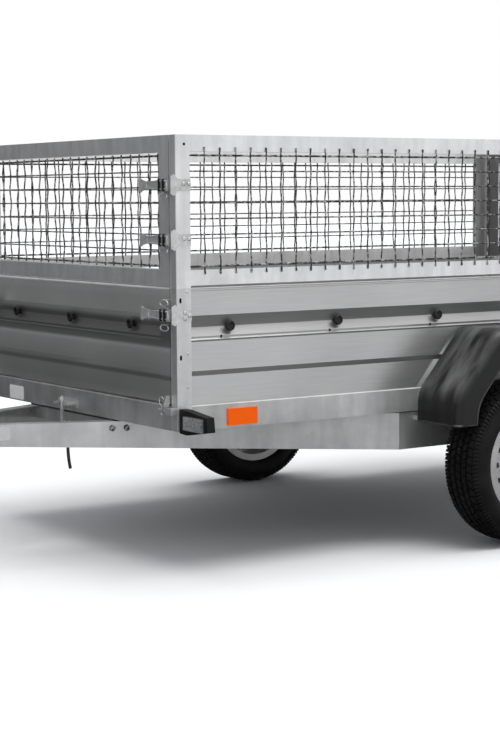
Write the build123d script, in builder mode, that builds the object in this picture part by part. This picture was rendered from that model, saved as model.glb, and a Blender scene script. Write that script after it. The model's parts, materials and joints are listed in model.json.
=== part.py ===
from build123d import *
from math import radians, tan
import os

# Single-axle tipping box trailer with a woven-wire cage.
# Millimetres, +Z up, ground at z = 0, front (coupling) towards -Y, the trailer's left side +X.

# ---- body -------------------------------------------------------------
body_length = 2334
body_width = 1305
bed_bottom = 431.5          # underside of the skirt
skirt_height = 73.5         # fixed frame member under every board
skirt_depth = 40            # how far its channels reach inwards
board_height = 335
board_thickness = 28
board_lift = 6              # running gap under the drop boards
board_round = 4             # rolled top edge of the boards
sheet = 3                   # folded steel sheet of the frame
post_length = 49            # corner post along the side
post_width = 33             # corner post across the front
rest_gap = 0.3              # between a moving piece and the seat it rests on
side_gap = 5.5              # drop boards and end cages to the corner posts
floor_thickness = 9
bearer_width = 50           # floor bearers, square in section
bearer_count = 5

# ---- cage -------------------------------------------------------------
cage_gap = 7                # end cages clear the boards by this
cage_height = 432
cage_depth = 25             # side frames
end_cage_depth = 38
top_rail = 48
bottom_rail = 45
end_stile = 53              # uprights of the end frames, and flat strips of the drop boards
rear_stile = 47             # upright of a side frame, ahead of its rear post
wire = 3.5
edge_wire = 6               # heavier wire along the mesh's edges
wire_pitch_long = 53.8
wire_pitch_high = 45.4
wire_rows = 8
first_upright = 97.5        # first upright wire of a side, behind the body's front
wire_lap = 13               # side mesh laps over its rails
wire_step = 0.3             # lengthwise wires lie this far behind the uprights
mesh_inset = 9              # end mesh behind the frame's face

# ---- drop-board hinges and cage pivots --------------------------------
hinge_out = 16              # board pivot stands this far in front of the face
hinge_z = 491
hinge_strap_top = 44        # the knuckle's strap, above the pivot
pin_radius = 6
pin_clearance = 0.4
pin_lap = 28                # pins run on past their knuckles
knuckle_radius = 11
knuckle_width = 9
ear_half = 10               # lug of the corner post round the pin
cage_pivot_in = 8
cage_pivot_up = 20
cage_stud_radius = 4.5
stud_length = 12

# ---- latches, hooks, lamps --------------------------------------------
latch_heights = {"upper": 1142, "lower": 985, "board": 769}
latch_base_half = 20
latch_claw_half = 17
latch_tail_half = 21        # flared end of the lever
latch_lever = 127           # base to the lever's end
latch_out = 22              # latches stand this far out of the end faces
lever_thickness = 4
keeper_out = 18
keeper_half = 17
keeper_flare = 14
hook_pitch_side = 393
hook_pitch_end = 380
side_hook_count = 6
hook_z = 732
hook_depth = 16             # hook's foot, behind the board's outermost skin
hook_neck_length = 11
hook_neck_radius = 6
hook_head_length = 9
hook_head_radius = 16
lamp_reach = 145
lamp_front = 6
lamp_arm_depth = 26
lens_from, lens_to = 34, 128     # marker lens, out from the body's side
reflector_size = (102, 50)
reflector_from_end = 222
reflector_thickness = 7
rear_bar_height = 92
rear_bar_in = 34
rear_lamp_width = 210
rear_triangle_radius = 44

# ---- running gear -----------------------------------------------------
axle_from_front = 1197
tyre_radius = 263.5
tyre_width = 148
tyre_shoulder = 10
wheel_out = 140.5           # wheel's middle plane, out from the body's side
rim_radius = 165            # bead seat
rim_flange = 182.5
rim_width = 126
rim_lip = 5                 # thickness of the flanges
rim_wall = 7                # barrel
bead_clearance = 0.3
vent_ring = 142
vent_radius = 9
vent_count = 18
disc_thickness = 8
dish_radius = 96            # recess of the disc round the wheel nuts
hub_radius = 55
hub_cap_radius = 32
stub_radius = 17
stub_clearance = 0.5
arm_reach = 110             # axle tube to wheel axis, along the body
arm_gap = 51                # trailing arm's inner face to the tyre
axle_tube = 60
tube_seat = 2               # axle tube above the beam's lower flange
tube_bracket = 90
bracket_thickness = 8
arm_thickness = 24
arm_boss = 38
arm_end = 30

# ---- drawbar ----------------------------------------------------------
beam_top = 426.4
beam_x_front = 287          # outer web face under the body's front
beam_spread = 0.424         # sideways run for each unit rearwards
beam_inset = 15.5           # outer web face beside the wheel, in from the body's side
beam_low_front = 345        # lower edge under the body's front
beam_slope = 0.0425         # the web deepens rearwards
beam_flange = 45
web = 4
lock_member = (14, 54)      # front cross-member, from and to, behind the body's front
member_depth = 44
head_half_width = 50
drawbar_reach = 1210        # body front to the coupling's nose
head_overlap = 130          # coupling body ahead of the drawbar

# ---- tipping hinge and lock -------------------------------------------
tip_behind_axle = 283
tip_z = 410
tip_pin_radius = 8
tip_lug_radius = 22
tip_lug_thickness = 10
tip_lug_gap = 7             # between lug and beam flange
tip_tail = 25
lock_bolt_out = 33
lock_shelf_up = 27
lock_shelf = (46, 40)       # half width and reach

# ---- coupling and jockey wheel ----------------------------------------
ball_radius = 25.2
socket_depth = 22
socket_top = 404
coupling_wall = 15
coupling_crown = 36         # above the ball's centre
coupling_half_width = 38
shank_length = 90
jockey_x = 96
jockey_back = 800           # ahead of the body's front
jockey_tube_radius = 24
jockey_tube_low = 330
jockey_tube_high = 640
jockey_inner_radius = 20
jockey_gap = 0.4
jockey_wheel_radius = 100
jockey_wheel_width = 50
jockey_rim_radius = 62
jockey_rim_width = 46
jockey_axle_radius = 8
jockey_trail = 45
fork_plate = 4
fork_crown_gap = 21         # wheel's top to the fork's top face

# ---- mudguards --------------------------------------------------------
guard_gap = 7.5             # out from the body's side
guard_width = 198
guard_half_length = 317
guard_skin = 4
guard_side_depth = 78
guard_low = 399
guard_knee = 495            # where the leg turns into the slope
guard_crest_half = 143      # half the flat top
guard_lean = 5              # the leg leans in by this up to the knee
guard_top = 691
guard_corner = 80
guard_shoulder = 25
stay_depth = 5
stay_height = 14            # low enough for the tipping bed to pass over the rear ones

# ---- cable tail -------------------------------------------------------
tail_radius = 5
tail_ahead = 130            # ahead of the body's front
tail_inset = 12             # in from the beam's outer face

# ---- derived places ---------------------------------------------------
half_width = body_width / 2
rear_reach = hinge_out + knuckle_radius
total_length = drawbar_reach + body_length + rear_reach
front_y = drawbar_reach - total_length / 2
rear_y = front_y + body_length
middle_y = (front_y + rear_y) / 2
skirt_top = bed_bottom + skirt_height
board_bottom = skirt_top + board_lift
board_top = board_bottom + board_height
floor_top = skirt_top + floor_thickness
cage_bottom = board_top + cage_gap
cage_top = cage_bottom + cage_height
post_inner_x = half_width - post_width
drop_half = post_inner_x - side_gap
beam_x_rear = half_width - beam_inset
wheel_centre_x = half_width + wheel_out
guard_inner_x = half_width + guard_gap
guard_outer_x = guard_inner_x + guard_width
arm_x = wheel_centre_x - tyre_width / 2 - arm_gap
axle_y = front_y + axle_from_front
tube_y = axle_y - arm_reach
tip_y = axle_y + tip_behind_axle
bend_y = front_y + (beam_x_rear - beam_x_front) / beam_spread
merge_y = front_y - (beam_x_front - head_half_width) / beam_spread
coupling_y = front_y - drawbar_reach
nose_radius = ball_radius + coupling_wall
ball_y = coupling_y + nose_radius
coupling_top = socket_top + coupling_crown
drawbar_front_y = coupling_y + head_overlap
jockey_y = front_y - jockey_back
jockey_axle_y = jockey_y + jockey_trail
fork_top = 2 * jockey_wheel_radius + fork_crown_gap
beam_low_rear = beam_low_front - beam_slope * (bend_y - front_y)
beam_low_head = beam_low_front + beam_slope * (front_y - merge_y)
tube_z = beam_low_rear + web + tube_seat + axle_tube / 2
tip_pin_length = beam_flange + tip_lug_gap + tip_lug_thickness + 5
lock_shelf_z = bed_bottom + lock_shelf_up
cutter = 50                 # how far cutting solids run past what they cut
sides = {"left": 1, "right": -1}
ends = {"front": -1, "rear": 1}

os.makedirs("parts", exist_ok=True)


def save(part, name):
    part.label = name
    export_step(part, f"parts/{name}.step")


def end_y(end, depth):
    """Y of a plane this deep inside the body's front or rear face."""
    return front_y + depth if end < 0 else rear_y - depth


def block(x0, x1, y0, y1, z0, z1):
    """A plain bar between two corners, in any order."""
    place = Location(((x0 + x1) / 2, (y0 + y1) / 2, (z0 + z1) / 2))
    with Locations(place):
        Box(abs(x1 - x0), abs(y1 - y0), abs(z1 - z0))


# ---- wall section -----------------------------------------------------
# depth inside the outermost skin, height under the board's top
wall_section = [
    (board_round, 0), (0, board_round), (0, 8), (2, 9), (2, 80), (20, 115), (3, 141), (4, 147), (0, 151),
    (2, 156), (2, 241), (8, 256),
]


def wall_outline(bottom):
    """Board section as (depth, z): profiled skin outside, flat inside."""
    skin = [(depth, board_top - down) for depth, down in wall_section]
    low_band = wall_section[-1][0]
    return skin + [(low_band, bottom), (board_thickness, bottom), (board_thickness, board_top)]


def side_board(side):
    """Fixed side wall, from corner post to corner post."""
    with BuildPart() as board:
        with BuildSketch(Plane.XZ.offset(-(front_y + post_length))):
            with BuildLine():
                Polyline(*[(side * (half_width - d), z) for d, z in wall_outline(skirt_top)], close=True)
            make_face()
        extrude(amount=-(body_length - 2 * post_length))
    return board.part


def end_board(end):
    """Drop board with flat end strips and two hinge knuckles."""
    pivot_y = end_y(end, -hinge_out)
    with BuildPart() as board:
        with BuildSketch(Plane.YZ.offset(-drop_half)):
            with BuildLine():
                Polyline(*[(end_y(end, d), z) for d, z in wall_outline(board_bottom)], close=True)
            make_face()
        extrude(amount=2 * drop_half)
        for side in sides.values():
            outer = side * drop_half
            inner = side * (drop_half - end_stile)
            block(inner, outer, end_y(end, 0), end_y(end, board_thickness), board_bottom, board_top)
            knuckle = outer - side * knuckle_width
            strap_top = hinge_z + hinge_strap_top
            near, far = pivot_y - end * knuckle_radius, pivot_y + end * knuckle_radius
            with BuildSketch(Plane.YZ.offset(min(knuckle, outer))):
                with Locations((pivot_y, hinge_z)):
                    Circle(knuckle_radius)
                with BuildLine():
                    Polyline(
                        (far, hinge_z), (near, hinge_z), (near, hinge_z + 1.5 * knuckle_radius),
                        (end_y(end, sheet), hinge_z + 2.4 * knuckle_radius), (end_y(end, sheet), strap_top),
                        (pivot_y, strap_top), close=True,
                    )
                make_face()
                with Locations((pivot_y, hinge_z)):
                    Circle(pin_radius + pin_clearance, mode=Mode.SUBTRACT)
            extrude(amount=knuckle_width)
    return board.part


def bed_frame():
    """Skirt: four folded channels, open inwards, under the boards."""
    with BuildPart() as frame:
        for side in sides.values():
            with BuildSketch(Plane.XZ.offset(-(front_y + post_length))):
                with BuildLine():
                    section = channel(half_width, half_width - skirt_depth)
                    Polyline(*[(side * x, z) for x, z in section], close=True)
                make_face()
            extrude(amount=-(body_length - 2 * post_length))
        for end in ends.values():
            with BuildSketch(Plane.YZ.offset(-post_inner_x)):
                with BuildLine():
                    Polyline(*channel(end_y(end, 0), end_y(end, skirt_depth)), close=True)
                make_face()
            extrude(amount=2 * post_inner_x)
    return frame.part


def channel(outer, inner):
    """C section between two upright planes, web at the outer one, with the sill's ledge."""
    back = outer + (sheet if inner > outer else -sheet)
    return [
        (outer, bed_bottom), (outer, skirt_top - sheet), (back, skirt_top), (inner, skirt_top),
        (inner, skirt_top - sheet), (back, skirt_top - 2 * sheet), (back, bed_bottom + sheet),
        (inner, bed_bottom + sheet), (inner, bed_bottom),
    ]


def corner_posts():
    """Four folded box posts, open below, with the drop boards' hinge pins."""
    with BuildPart() as posts:
        for side in sides.values():
            for end in ends.values():
                x_out, x_in = side * half_width, side * post_inner_x
                block(x_in, x_out, end_y(end, 0), end_y(end, post_length), bed_bottom, board_top)
                pivot_y = end_y(end, -hinge_out)
                ear = x_in + side * 2
                block(ear, x_out, pivot_y + end * 8, end_y(end, 1), hinge_z - ear_half, hinge_z + ear_half)
                pin_end = side * (drop_half - knuckle_width - pin_lap)
                with BuildSketch(Plane.YZ.offset(min(pin_end, x_out))):
                    with Locations((pivot_y, hinge_z)):
                        Circle(pin_radius)
                extrude(amount=abs(x_out - pin_end))
        for side in sides.values():
            for end in ends.values():
                middle = (side * (half_width - post_width / 2), end_y(end, post_length / 2), bed_bottom)
                tall = 2 * (board_top - bed_bottom - 2 * sheet)
                with Locations(middle):
                    Box(post_width - 2 * sheet, post_length - 2 * sheet, tall, mode=Mode.SUBTRACT)
    return posts.part


def floor_panel():
    """Floor sheet on the frame, notched around the corner posts."""
    edge = board_thickness + board_lift
    inner_x = half_width - board_thickness
    with BuildPart() as floor:
        block(-inner_x, inner_x, front_y + post_length, rear_y - post_length, skirt_top, floor_top)
        block(-post_inner_x, post_inner_x, front_y + edge, rear_y - edge, skirt_top, floor_top)
    return floor.part


def cross_members():
    """Floor bearers and the lugs that carry the tipping pins."""
    reach = half_width - sheet - skirt_depth
    bearer_low = skirt_top - bearer_width
    with BuildPart() as bearers:
        for step in range(bearer_count):
            y = front_y + (step + 1) * body_length / (bearer_count + 1)
            block(-reach, reach, y - bearer_width / 2, y + bearer_width / 2, bearer_low, skirt_top)
        block(-reach, reach, tip_y - tip_lug_radius, tip_y + tip_lug_radius, bearer_low, skirt_top)
        for side in sides.values():
            outer = side * (beam_x_rear - beam_flange - tip_lug_gap)
            inner = outer - side * tip_lug_thickness
            block(inner, outer, tip_y - tip_lug_radius, tip_y + tip_lug_radius, tip_z, skirt_top)
            with BuildSketch(Plane.YZ.offset(min(inner, outer))):
                with Locations((tip_y, tip_z)):
                    Circle(tip_lug_radius)
            extrude(amount=tip_lug_thickness)
            with BuildSketch(Plane.YZ.offset(min(inner, outer))):
                with Locations((tip_y, tip_z)):
                    Circle(tip_pin_radius + pin_clearance)
            extrude(amount=tip_lug_thickness, mode=Mode.SUBTRACT)
    return bearers.part


# ---- cage -------------------------------------------------------------
def side_cage(side):
    """Side frame: two rails, end posts that continue the corner posts, and a rear stile."""
    x_out = side * half_width
    x_rail = side * (half_width - cage_depth)
    x_post = side * post_inner_x
    start, stop = front_y + post_length, rear_y - post_length
    with BuildPart() as cage:
        block(x_rail, x_out, start, stop, cage_bottom, cage_bottom + bottom_rail)
        block(x_rail, x_out, start, stop, cage_top - top_rail, cage_top)
        block(x_rail, x_out, stop - rear_stile, stop, cage_bottom, cage_top)
        for end in ends.values():
            block(x_post, x_out, end_y(end, 0), end_y(end, post_length), board_top, cage_top)
            pivot = (end_y(end, cage_pivot_in), cage_bottom + cage_pivot_up)
            with BuildSketch(Plane.YZ.offset(min(x_post, x_post - side * (side_gap + stud_length)))):
                with Locations(pivot):
                    Circle(cage_stud_radius)
            extrude(amount=side_gap + stud_length)
    return cage.part


def end_cage(end):
    """Front or rear frame that folds outwards on two studs."""
    y_out, y_in = end_y(end, 0), end_y(end, end_cage_depth)
    bore = stud_length + 3
    with BuildPart() as cage:
        block(-drop_half, drop_half, y_out, y_in, cage_bottom, cage_bottom + bottom_rail)
        block(-drop_half, drop_half, y_out, y_in, cage_top - top_rail, cage_top)
        for side in sides.values():
            outer = side * drop_half
            block(outer, outer - side * end_stile, y_out, y_in, cage_bottom, cage_top)
            pivot = (end_y(end, cage_pivot_in), cage_bottom + cage_pivot_up)
            with BuildSketch(Plane.YZ.offset(min(outer, outer - side * bore))):
                with Locations(pivot):
                    Circle(cage_stud_radius + pin_clearance)
            extrude(amount=bore, mode=Mode.SUBTRACT)
    return cage.part


def centred_row(length, pitch):
    """Places of a row of wires, centred, that fit a length."""
    count = int(length / pitch / 2)
    return [step * pitch for step in range(-count, count + 1)]


def wire_heights():
    """Heights of the lengthwise wires."""
    middle = (cage_bottom + bottom_rail + cage_top - top_rail) / 2
    return [middle + (step - (wire_rows - 1) / 2) * wire_pitch_high for step in range(wire_rows)]


def side_mesh(side):
    """Woven mesh on a side frame: uprights between edge wires, laid over the rails, rows behind them."""
    low = cage_bottom + bottom_rail - wire_lap
    high = cage_top - top_rail + wire_lap
    start, stop = front_y + post_length, rear_y - post_length - rear_stile
    count = int((stop - wire - front_y - first_upright) / wire_pitch_long) + 1
    uprights = [(front_y + first_upright + step * wire_pitch_long, (low + high) / 2) for step in range(count)]
    face = side * half_width
    back = face - side * wire_step
    across = ((start + stop) / 2, stop - start)
    with BuildPart() as mesh:
        with BuildSketch(Plane.YZ.offset(min(face, face + side * wire))):
            with Locations(*uprights):
                Rectangle(wire, high - low)
            with Locations((across[0], low), (across[0], high)):
                Rectangle(across[1], edge_wire)
        extrude(amount=wire)
        with BuildSketch(Plane.YZ.offset(min(back, back - side * wire))):
            with Locations(*[(across[0], z) for z in wire_heights()]):
                Rectangle(across[1], wire)
        extrude(amount=wire)
    return mesh.part


def end_mesh(end):
    """Woven mesh held inside an end frame: uprights between edge wires, and rows behind them."""
    clear = drop_half - end_stile
    low, high = cage_bottom + bottom_rail, cage_top - top_rail
    uprights = [(x, (low + high) / 2) for x in centred_row(2 * clear - wire, wire_pitch_long)]
    face = end_y(end, mesh_inset)
    back = end_y(end, mesh_inset + wire + wire_step)
    with BuildPart() as mesh:
        with BuildSketch(Plane.XZ.offset(-max(face, face - end * wire))):
            with Locations(*uprights):
                Rectangle(wire, high - low)
            with Locations((0, low + edge_wire / 2), (0, high - edge_wire / 2)):
                Rectangle(2 * clear, edge_wire)
        extrude(amount=wire)
        with BuildSketch(Plane.XZ.offset(-max(back, back - end * wire))):
            with Locations(*[(0, z) for z in wire_heights()]):
                Rectangle(2 * clear, wire)
        extrude(amount=wire)
    return mesh.part


# ---- latches, hooks and lamps -----------------------------------------
def keepers():
    """Latch keepers bolted round the corners, flared where the latch's claw passes."""
    with BuildPart() as plates:
        for side in sides.values():
            for end in ends.values():
                lip, flare, strap = (end_y(end, third * keeper_out / 3) for third in (-3, -1, 1))
                back = end_y(end, post_length)
                wide = keeper_half + keeper_flare
                face = side * half_width
                with BuildSketch(Plane.YZ.offset(min(face, face + side * sheet))):
                    for z in latch_heights.values():
                        with BuildLine():
                            Polyline(
                                (lip, z - wide + 6), (lip, z + wide - 6), (flare, z + wide),
                                (strap, z + keeper_half), (back, z + keeper_half), (back, z - keeper_half),
                                (strap, z - keeper_half), (flare, z - wide), close=True,
                            )
                        make_face()
                extrude(amount=sheet)
    return plates.part


def latches(end, heights):
    """Over-centre latches: base, claw block and flared lever, on both ends of a panel."""
    base_in, base_out, claw_in = drop_half - 48, drop_half - 3, drop_half - 26
    claw_out = half_width - 7
    tail = base_out - latch_lever
    lever_depth = -latch_out if end > 0 else lever_thickness - latch_out
    with BuildPart() as levers:
        for side in sides.values():
            for z in heights:
                low, high = z - latch_claw_half, z + latch_claw_half
                block(side * base_in, side * base_out, end_y(end, 0), end_y(end, -sheet),
                      z - latch_base_half, z + latch_base_half)
                block(side * claw_in, side * base_out, end_y(end, 0), end_y(end, -latch_out), low, high)
                block(side * claw_in, side * claw_out, end_y(end, -8), end_y(end, -latch_out), low, high)
                upper = [
                    (claw_in, 14), (tail + 42, 11), (tail + 16, 16), (tail + 6, latch_tail_half), (tail, 15),
                ]
                lower = [(x, -up) for x, up in reversed(upper)]
                with BuildSketch(Plane.XZ.offset(-end_y(end, lever_depth))):
                    with BuildLine():
                        Polyline(*[(side * x, z + up) for x, up in upper + lower], close=True)
                    make_face()
                extrude(amount=lever_thickness)
    return levers.part


def side_hooks():
    """Cover hooks along both sides: moulded neck and round head."""
    middle = (side_hook_count - 1) / 2
    places = [(middle_y + (step - middle) * hook_pitch_side, hook_z) for step in range(side_hook_count)]
    with BuildPart() as hooks:
        for side in sides.values():
            foot = side * (half_width - hook_depth)
            neck = foot + side * hook_neck_length
            head = neck + side * hook_head_length
            with BuildSketch(Plane.YZ.offset(min(foot, neck))):
                with Locations(*places):
                    RegularPolygon(hook_neck_radius, 6)
            extrude(amount=hook_neck_length)
            with BuildSketch(Plane.YZ.offset(min(neck, head))):
                with Locations(*places):
                    RegularPolygon(hook_head_radius, 8, major_radius=False, rotation=22.5)
            extrude(amount=hook_head_length)
    return hooks.part


def end_hooks(end):
    """Cover hooks across a drop board."""
    places = [(step * hook_pitch_end, hook_z) for step in (-1, 0, 1)]
    foot = end_y(end, hook_depth)
    neck = foot + end * hook_neck_length
    head = neck + end * hook_head_length
    with BuildPart() as hooks:
        with BuildSketch(Plane.XZ.offset(-max(foot, neck))):
            with Locations(*places):
                RegularPolygon(hook_neck_radius, 6)
        extrude(amount=hook_neck_length)
        with BuildSketch(Plane.XZ.offset(-max(neck, head))):
            with Locations(*places):
                RegularPolygon(hook_head_radius, 8, major_radius=False, rotation=22.5)
        extrude(amount=hook_head_length)
    return hooks.part


def marker_lamp_arms():
    """Rubber arms that hold the front marker lamps out from the corners."""
    with BuildPart() as arms:
        for side in sides.values():
            with BuildSketch(Plane.XZ.offset(-(front_y + lamp_front))):
                with BuildLine():
                    corners = [(0, -4), (0, 66), (28, 66), (lamp_reach, 54), (lamp_reach + 6, 12), (40, -6)]
                    Polyline(*[(side * (half_width + x), bed_bottom + z) for x, z in corners], close=True)
                make_face()
            extrude(amount=-lamp_arm_depth)
    return arms.part


def marker_lamp_lenses():
    with BuildPart() as lenses:
        for side in sides.values():
            x0, x1 = side * (half_width + lens_from), side * (half_width + lens_to)
            block(x0, x1, front_y + lamp_front, front_y + lamp_front - 10, bed_bottom + 10, bed_bottom + 49)
    return lenses.part


def side_reflectors():
    """Amber reflectors on the side members."""
    half_y, half_z = reflector_size[0] / 2, reflector_size[1] / 2
    z = bed_bottom + 32
    with BuildPart() as reflectors:
        for side in sides.values():
            face, front = side * half_width, side * (half_width + reflector_thickness)
            for end in ends.values():
                y = end_y(end, reflector_from_end)
                block(face, front, y - half_y, y + half_y, z - half_z, z + half_z)
    return reflectors.part


def rear_lamp_bar():
    """Folded sheet under the rear member that carries the rear lamps."""
    low = bed_bottom - rear_bar_height
    back = rear_y - rear_bar_in
    with BuildPart() as bar:
        with BuildSketch(Plane.YZ.offset(-post_inner_x)):
            with BuildLine():
                Polyline(
                    (back, low), (back + 20, low), (back + 20, low + sheet), (back + sheet, low + sheet),
                    (back + sheet, bed_bottom - sheet), (back + 30, bed_bottom - sheet),
                    (back + 30, bed_bottom), (back, bed_bottom), close=True,
                )
            make_face()
        extrude(amount=2 * post_inner_x)
    return bar.part


def rear_lamps():
    with BuildPart() as lamps:
        for side in sides.values():
            x0 = side * (post_inner_x - 8)
            x1 = x0 - side * rear_lamp_width
            block(x0, x1, rear_y - rear_bar_in + sheet, rear_y + 12, bed_bottom - 84, bed_bottom - 6)
    return lamps.part


def rear_reflectors():
    """Red triangles beside the rear lamps."""
    with BuildPart() as triangles:
        for side in sides.values():
            with BuildSketch(Plane.XZ.offset(-(rear_y - rear_bar_in + sheet))):
                with Locations((side * (post_inner_x - 300), bed_bottom - 56)):
                    RegularPolygon(rear_triangle_radius, 3, rotation=90)
            extrude(amount=-8)
    return triangles.part


def lock_bracket():
    """Shelf on the front member, slotted for the swing bolt."""
    half, reach = lock_shelf
    with BuildPart() as shelf:
        block(-half, half, front_y, front_y - reach, lock_shelf_z - sheet, lock_shelf_z + sheet)
        block(-half, half, front_y, front_y - web, lock_shelf_z - 14, lock_shelf_z + 14)
        with Locations((0, front_y - reach, lock_shelf_z)):
            Box(34, 48, 3 * sheet, mode=Mode.SUBTRACT)
    return shelf.part


# ---- drawbar ----------------------------------------------------------
def beam_low(y):
    """Lower edge of the web at a place along the trailer."""
    if y >= bend_y:
        return beam_low_rear
    if y <= merge_y:
        return beam_low_head
    return beam_low_front - beam_slope * (y - front_y)


def drawbar_beam(side):
    """Tapered channel: parallel head, straight V, then along the body's side."""
    first, last = drawbar_front_y, tip_y + tip_tail
    stations = [first, merge_y, bend_y, last]
    xs = [head_half_width, head_half_width, beam_x_rear, beam_x_rear]
    route = list(zip(xs, stations))
    reach = beam_x_rear + cutter
    with BuildPart() as beam:
        with BuildSketch(Plane.XY):
            with BuildLine():
                outer = [(side * x, y) for x, y in route]
                inner = [(side * (x - beam_flange), y) for x, y in reversed(route)]
                Polyline(*(outer + inner), close=True)
            make_face()
        extrude(amount=beam_top)
        with BuildSketch(Plane.YZ.offset(-reach)):
            with BuildLine():
                lows = [(y, beam_low(y)) for y in stations]
                Polyline((first - cutter, -cutter), (first - cutter, lows[0][1]), *lows,
                         (last + cutter, lows[-1][1]), (last + cutter, -cutter), close=True)
            make_face()
            with BuildLine():
                slope = tip_tail + web
                Polyline((tip_y, beam_top), (tip_y + slope, beam_top - slope / 2),
                         (tip_y + slope, beam_top + cutter), (tip_y, beam_top + cutter), close=True)
            make_face()
        extrude(amount=2 * reach, mode=Mode.SUBTRACT)
        hollow = [(side * (x - web), y) for x, y in route]
        hollow[0] = (hollow[0][0], first - web)
        hollow[-1] = (hollow[-1][0], last + web)
        far = [(side * (x - beam_flange - web), y) for x, y in reversed(route)]
        far[0] = (far[0][0], last + web)
        far[-1] = (far[-1][0], first - web)
        with BuildSketch(Plane.XY):
            with BuildLine():
                Polyline(*(hollow + far), close=True)
            make_face()
        cavity = extrude(amount=beam_top - web, mode=Mode.PRIVATE)
        with BuildSketch(Plane.YZ.offset(-reach)):
            with BuildLine():
                lows = [(y, beam_low(y) + web) for y in stations]
                Polyline((first - cutter, beam_top), (first - cutter, lows[0][1]), *lows,
                         (last + cutter, lows[-1][1]), (last + cutter, beam_top), close=True)
            make_face()
        above = extrude(amount=2 * reach, mode=Mode.PRIVATE)
        add(cavity & above, mode=Mode.SUBTRACT)
        window = axle_tube + 2 * rest_gap
        with BuildSketch(Plane.YZ.offset(side * (beam_x_rear - web / 2))):
            with Locations((tube_y, tube_z)):
                Rectangle(window, window)
        extrude(amount=web, both=True, mode=Mode.SUBTRACT)
        with BuildSketch(Plane.YZ.offset(side * beam_x_rear - (0 if side < 0 else tip_pin_length))):
            with Locations((tip_y, tip_z)):
                Circle(tip_pin_radius)
        extrude(amount=tip_pin_length)
    return beam.part


def chassis_cross_members():
    """Front member under the tipping lock, and the rear member ahead of the tipping hinge."""
    rear_line = tip_y - 90
    reach = beam_x_rear - web
    with BuildPart() as members:
        with BuildSketch(Plane.XY.offset(beam_top - member_depth)):
            with BuildLine():
                near, far = (beam_x_front + beam_spread * back - web for back in lock_member)
                y0, y1 = (front_y + back for back in lock_member)
                Polyline((-near, y0), (near, y0), (far, y1), (-far, y1), close=True)
            make_face()
        extrude(amount=member_depth - web)
        block(-reach, reach, rear_line - 25, rear_line + 25, beam_low_rear + web, beam_low_rear + 55)
    return members.part


def swing_bolt():
    """Tipping lock: eye bolt that stands through the shelf's slot, with its nut."""
    y = front_y - lock_bolt_out
    low = beam_top - member_depth
    with BuildPart() as bolt:
        block(-16, 16, y - 5, front_y + lock_member[0], low, low + 10)
        with BuildSketch(Plane.XY.offset(low)):
            with Locations((0, y)):
                Circle(6)
        extrude(amount=lock_shelf_z + 24 - low)
        with BuildSketch(Plane.XY.offset(lock_shelf_z + 10)):
            with Locations((0, y)):
                RegularPolygon(11, 6)
        extrude(amount=9)
    return bolt.part


def bed_buffers():
    """Rubber pads on the beams that the bed's front comes down on."""
    back = 20
    with BuildPart() as pads:
        for side in sides.values():
            x1 = side * (beam_x_front + beam_spread * back - 6)
            x0 = x1 - side * 30
            block(x0, x1, front_y + 4, front_y + 36, beam_top, bed_bottom - rest_gap)
    return pads.part


# ---- axle -------------------------------------------------------------
def axle_beam():
    """Torsion axle tube through the beams' webs, welded to a plate inside each of them."""
    half = tube_bracket / 2
    with BuildPart() as axle:
        with BuildSketch(Plane.YZ.offset(-arm_x)):
            with Locations((tube_y, tube_z)):
                RectangleRounded(axle_tube, axle_tube, 10)
        extrude(amount=2 * arm_x)
        for side in sides.values():
            x1 = side * (beam_x_rear - web)
            x0 = x1 - side * bracket_thickness
            block(x0, x1, tube_y - half, tube_y + half, beam_low_rear + web, tube_z + half)
    return axle.part


def trailing_arms():
    """Arms from the axle tube back to the stub axles."""
    stub_length = wheel_centre_x + 22 - arm_x
    with BuildPart() as arms:
        for side in sides.values():
            start = side * arm_x
            with BuildSketch(Plane.YZ.offset(min(start, start + side * arm_thickness))):
                with Locations((tube_y, tube_z)):
                    Circle(arm_boss)
                with Locations((axle_y, tyre_radius)):
                    Circle(arm_end)
                make_hull()
            extrude(amount=arm_thickness)
            with BuildSketch(Plane.YZ.offset(min(start, start + side * stub_length))):
                with Locations((axle_y, tyre_radius)):
                    Circle(stub_radius)
            extrude(amount=stub_length)
    return arms.part


# ---- wheels -----------------------------------------------------------
def wheel_plane(side):
    """Half plane through the wheel's axis: radius upwards, distance outwards."""
    return Plane(origin=(side * wheel_centre_x, axle_y, tyre_radius), x_dir=(0, 0, 1), z_dir=(0, side, 0))


def wheel_rim(side):
    """Steel wheel: flanged barrel, dished disc with a ring of vents, hub and cap."""
    half = rim_width / 2
    barrel = rim_radius - rim_wall
    disc_out, nut_face = half - 16, half - 33
    bore = stub_radius + stub_clearance
    section = [
        (rim_flange, -half), (rim_flange, rim_lip - half), (rim_radius, rim_lip - half),
        (rim_radius, half - rim_lip), (rim_flange, half - rim_lip), (rim_flange, half), (barrel, half),
        (barrel, disc_out), (dish_radius, disc_out), (dish_radius, nut_face), (hub_cap_radius, nut_face),
        (hub_cap_radius, half - 5), (0, half - 5), (0, nut_face - 4), (bore, nut_face - 4), (bore, -8),
        (hub_radius, -8), (hub_radius, nut_face - disc_thickness), (barrel, nut_face - disc_thickness),
        (barrel, -half),
    ]
    with BuildPart() as rim:
        with BuildSketch(wheel_plane(side)):
            with BuildLine():
                Polyline(*section, close=True)
            make_face()
        revolve(axis=Axis((side * wheel_centre_x, axle_y, tyre_radius), (1, 0, 0)))
        with BuildSketch(Plane.YZ.offset(side * (wheel_centre_x + half / 2) - half / 2)):
            with Locations((axle_y, tyre_radius)):
                with PolarLocations(vent_ring, vent_count):
                    RegularPolygon(vent_radius, 8, major_radius=False, rotation=22.5)
        extrude(amount=half, mode=Mode.SUBTRACT)
    return rim.part


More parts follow.
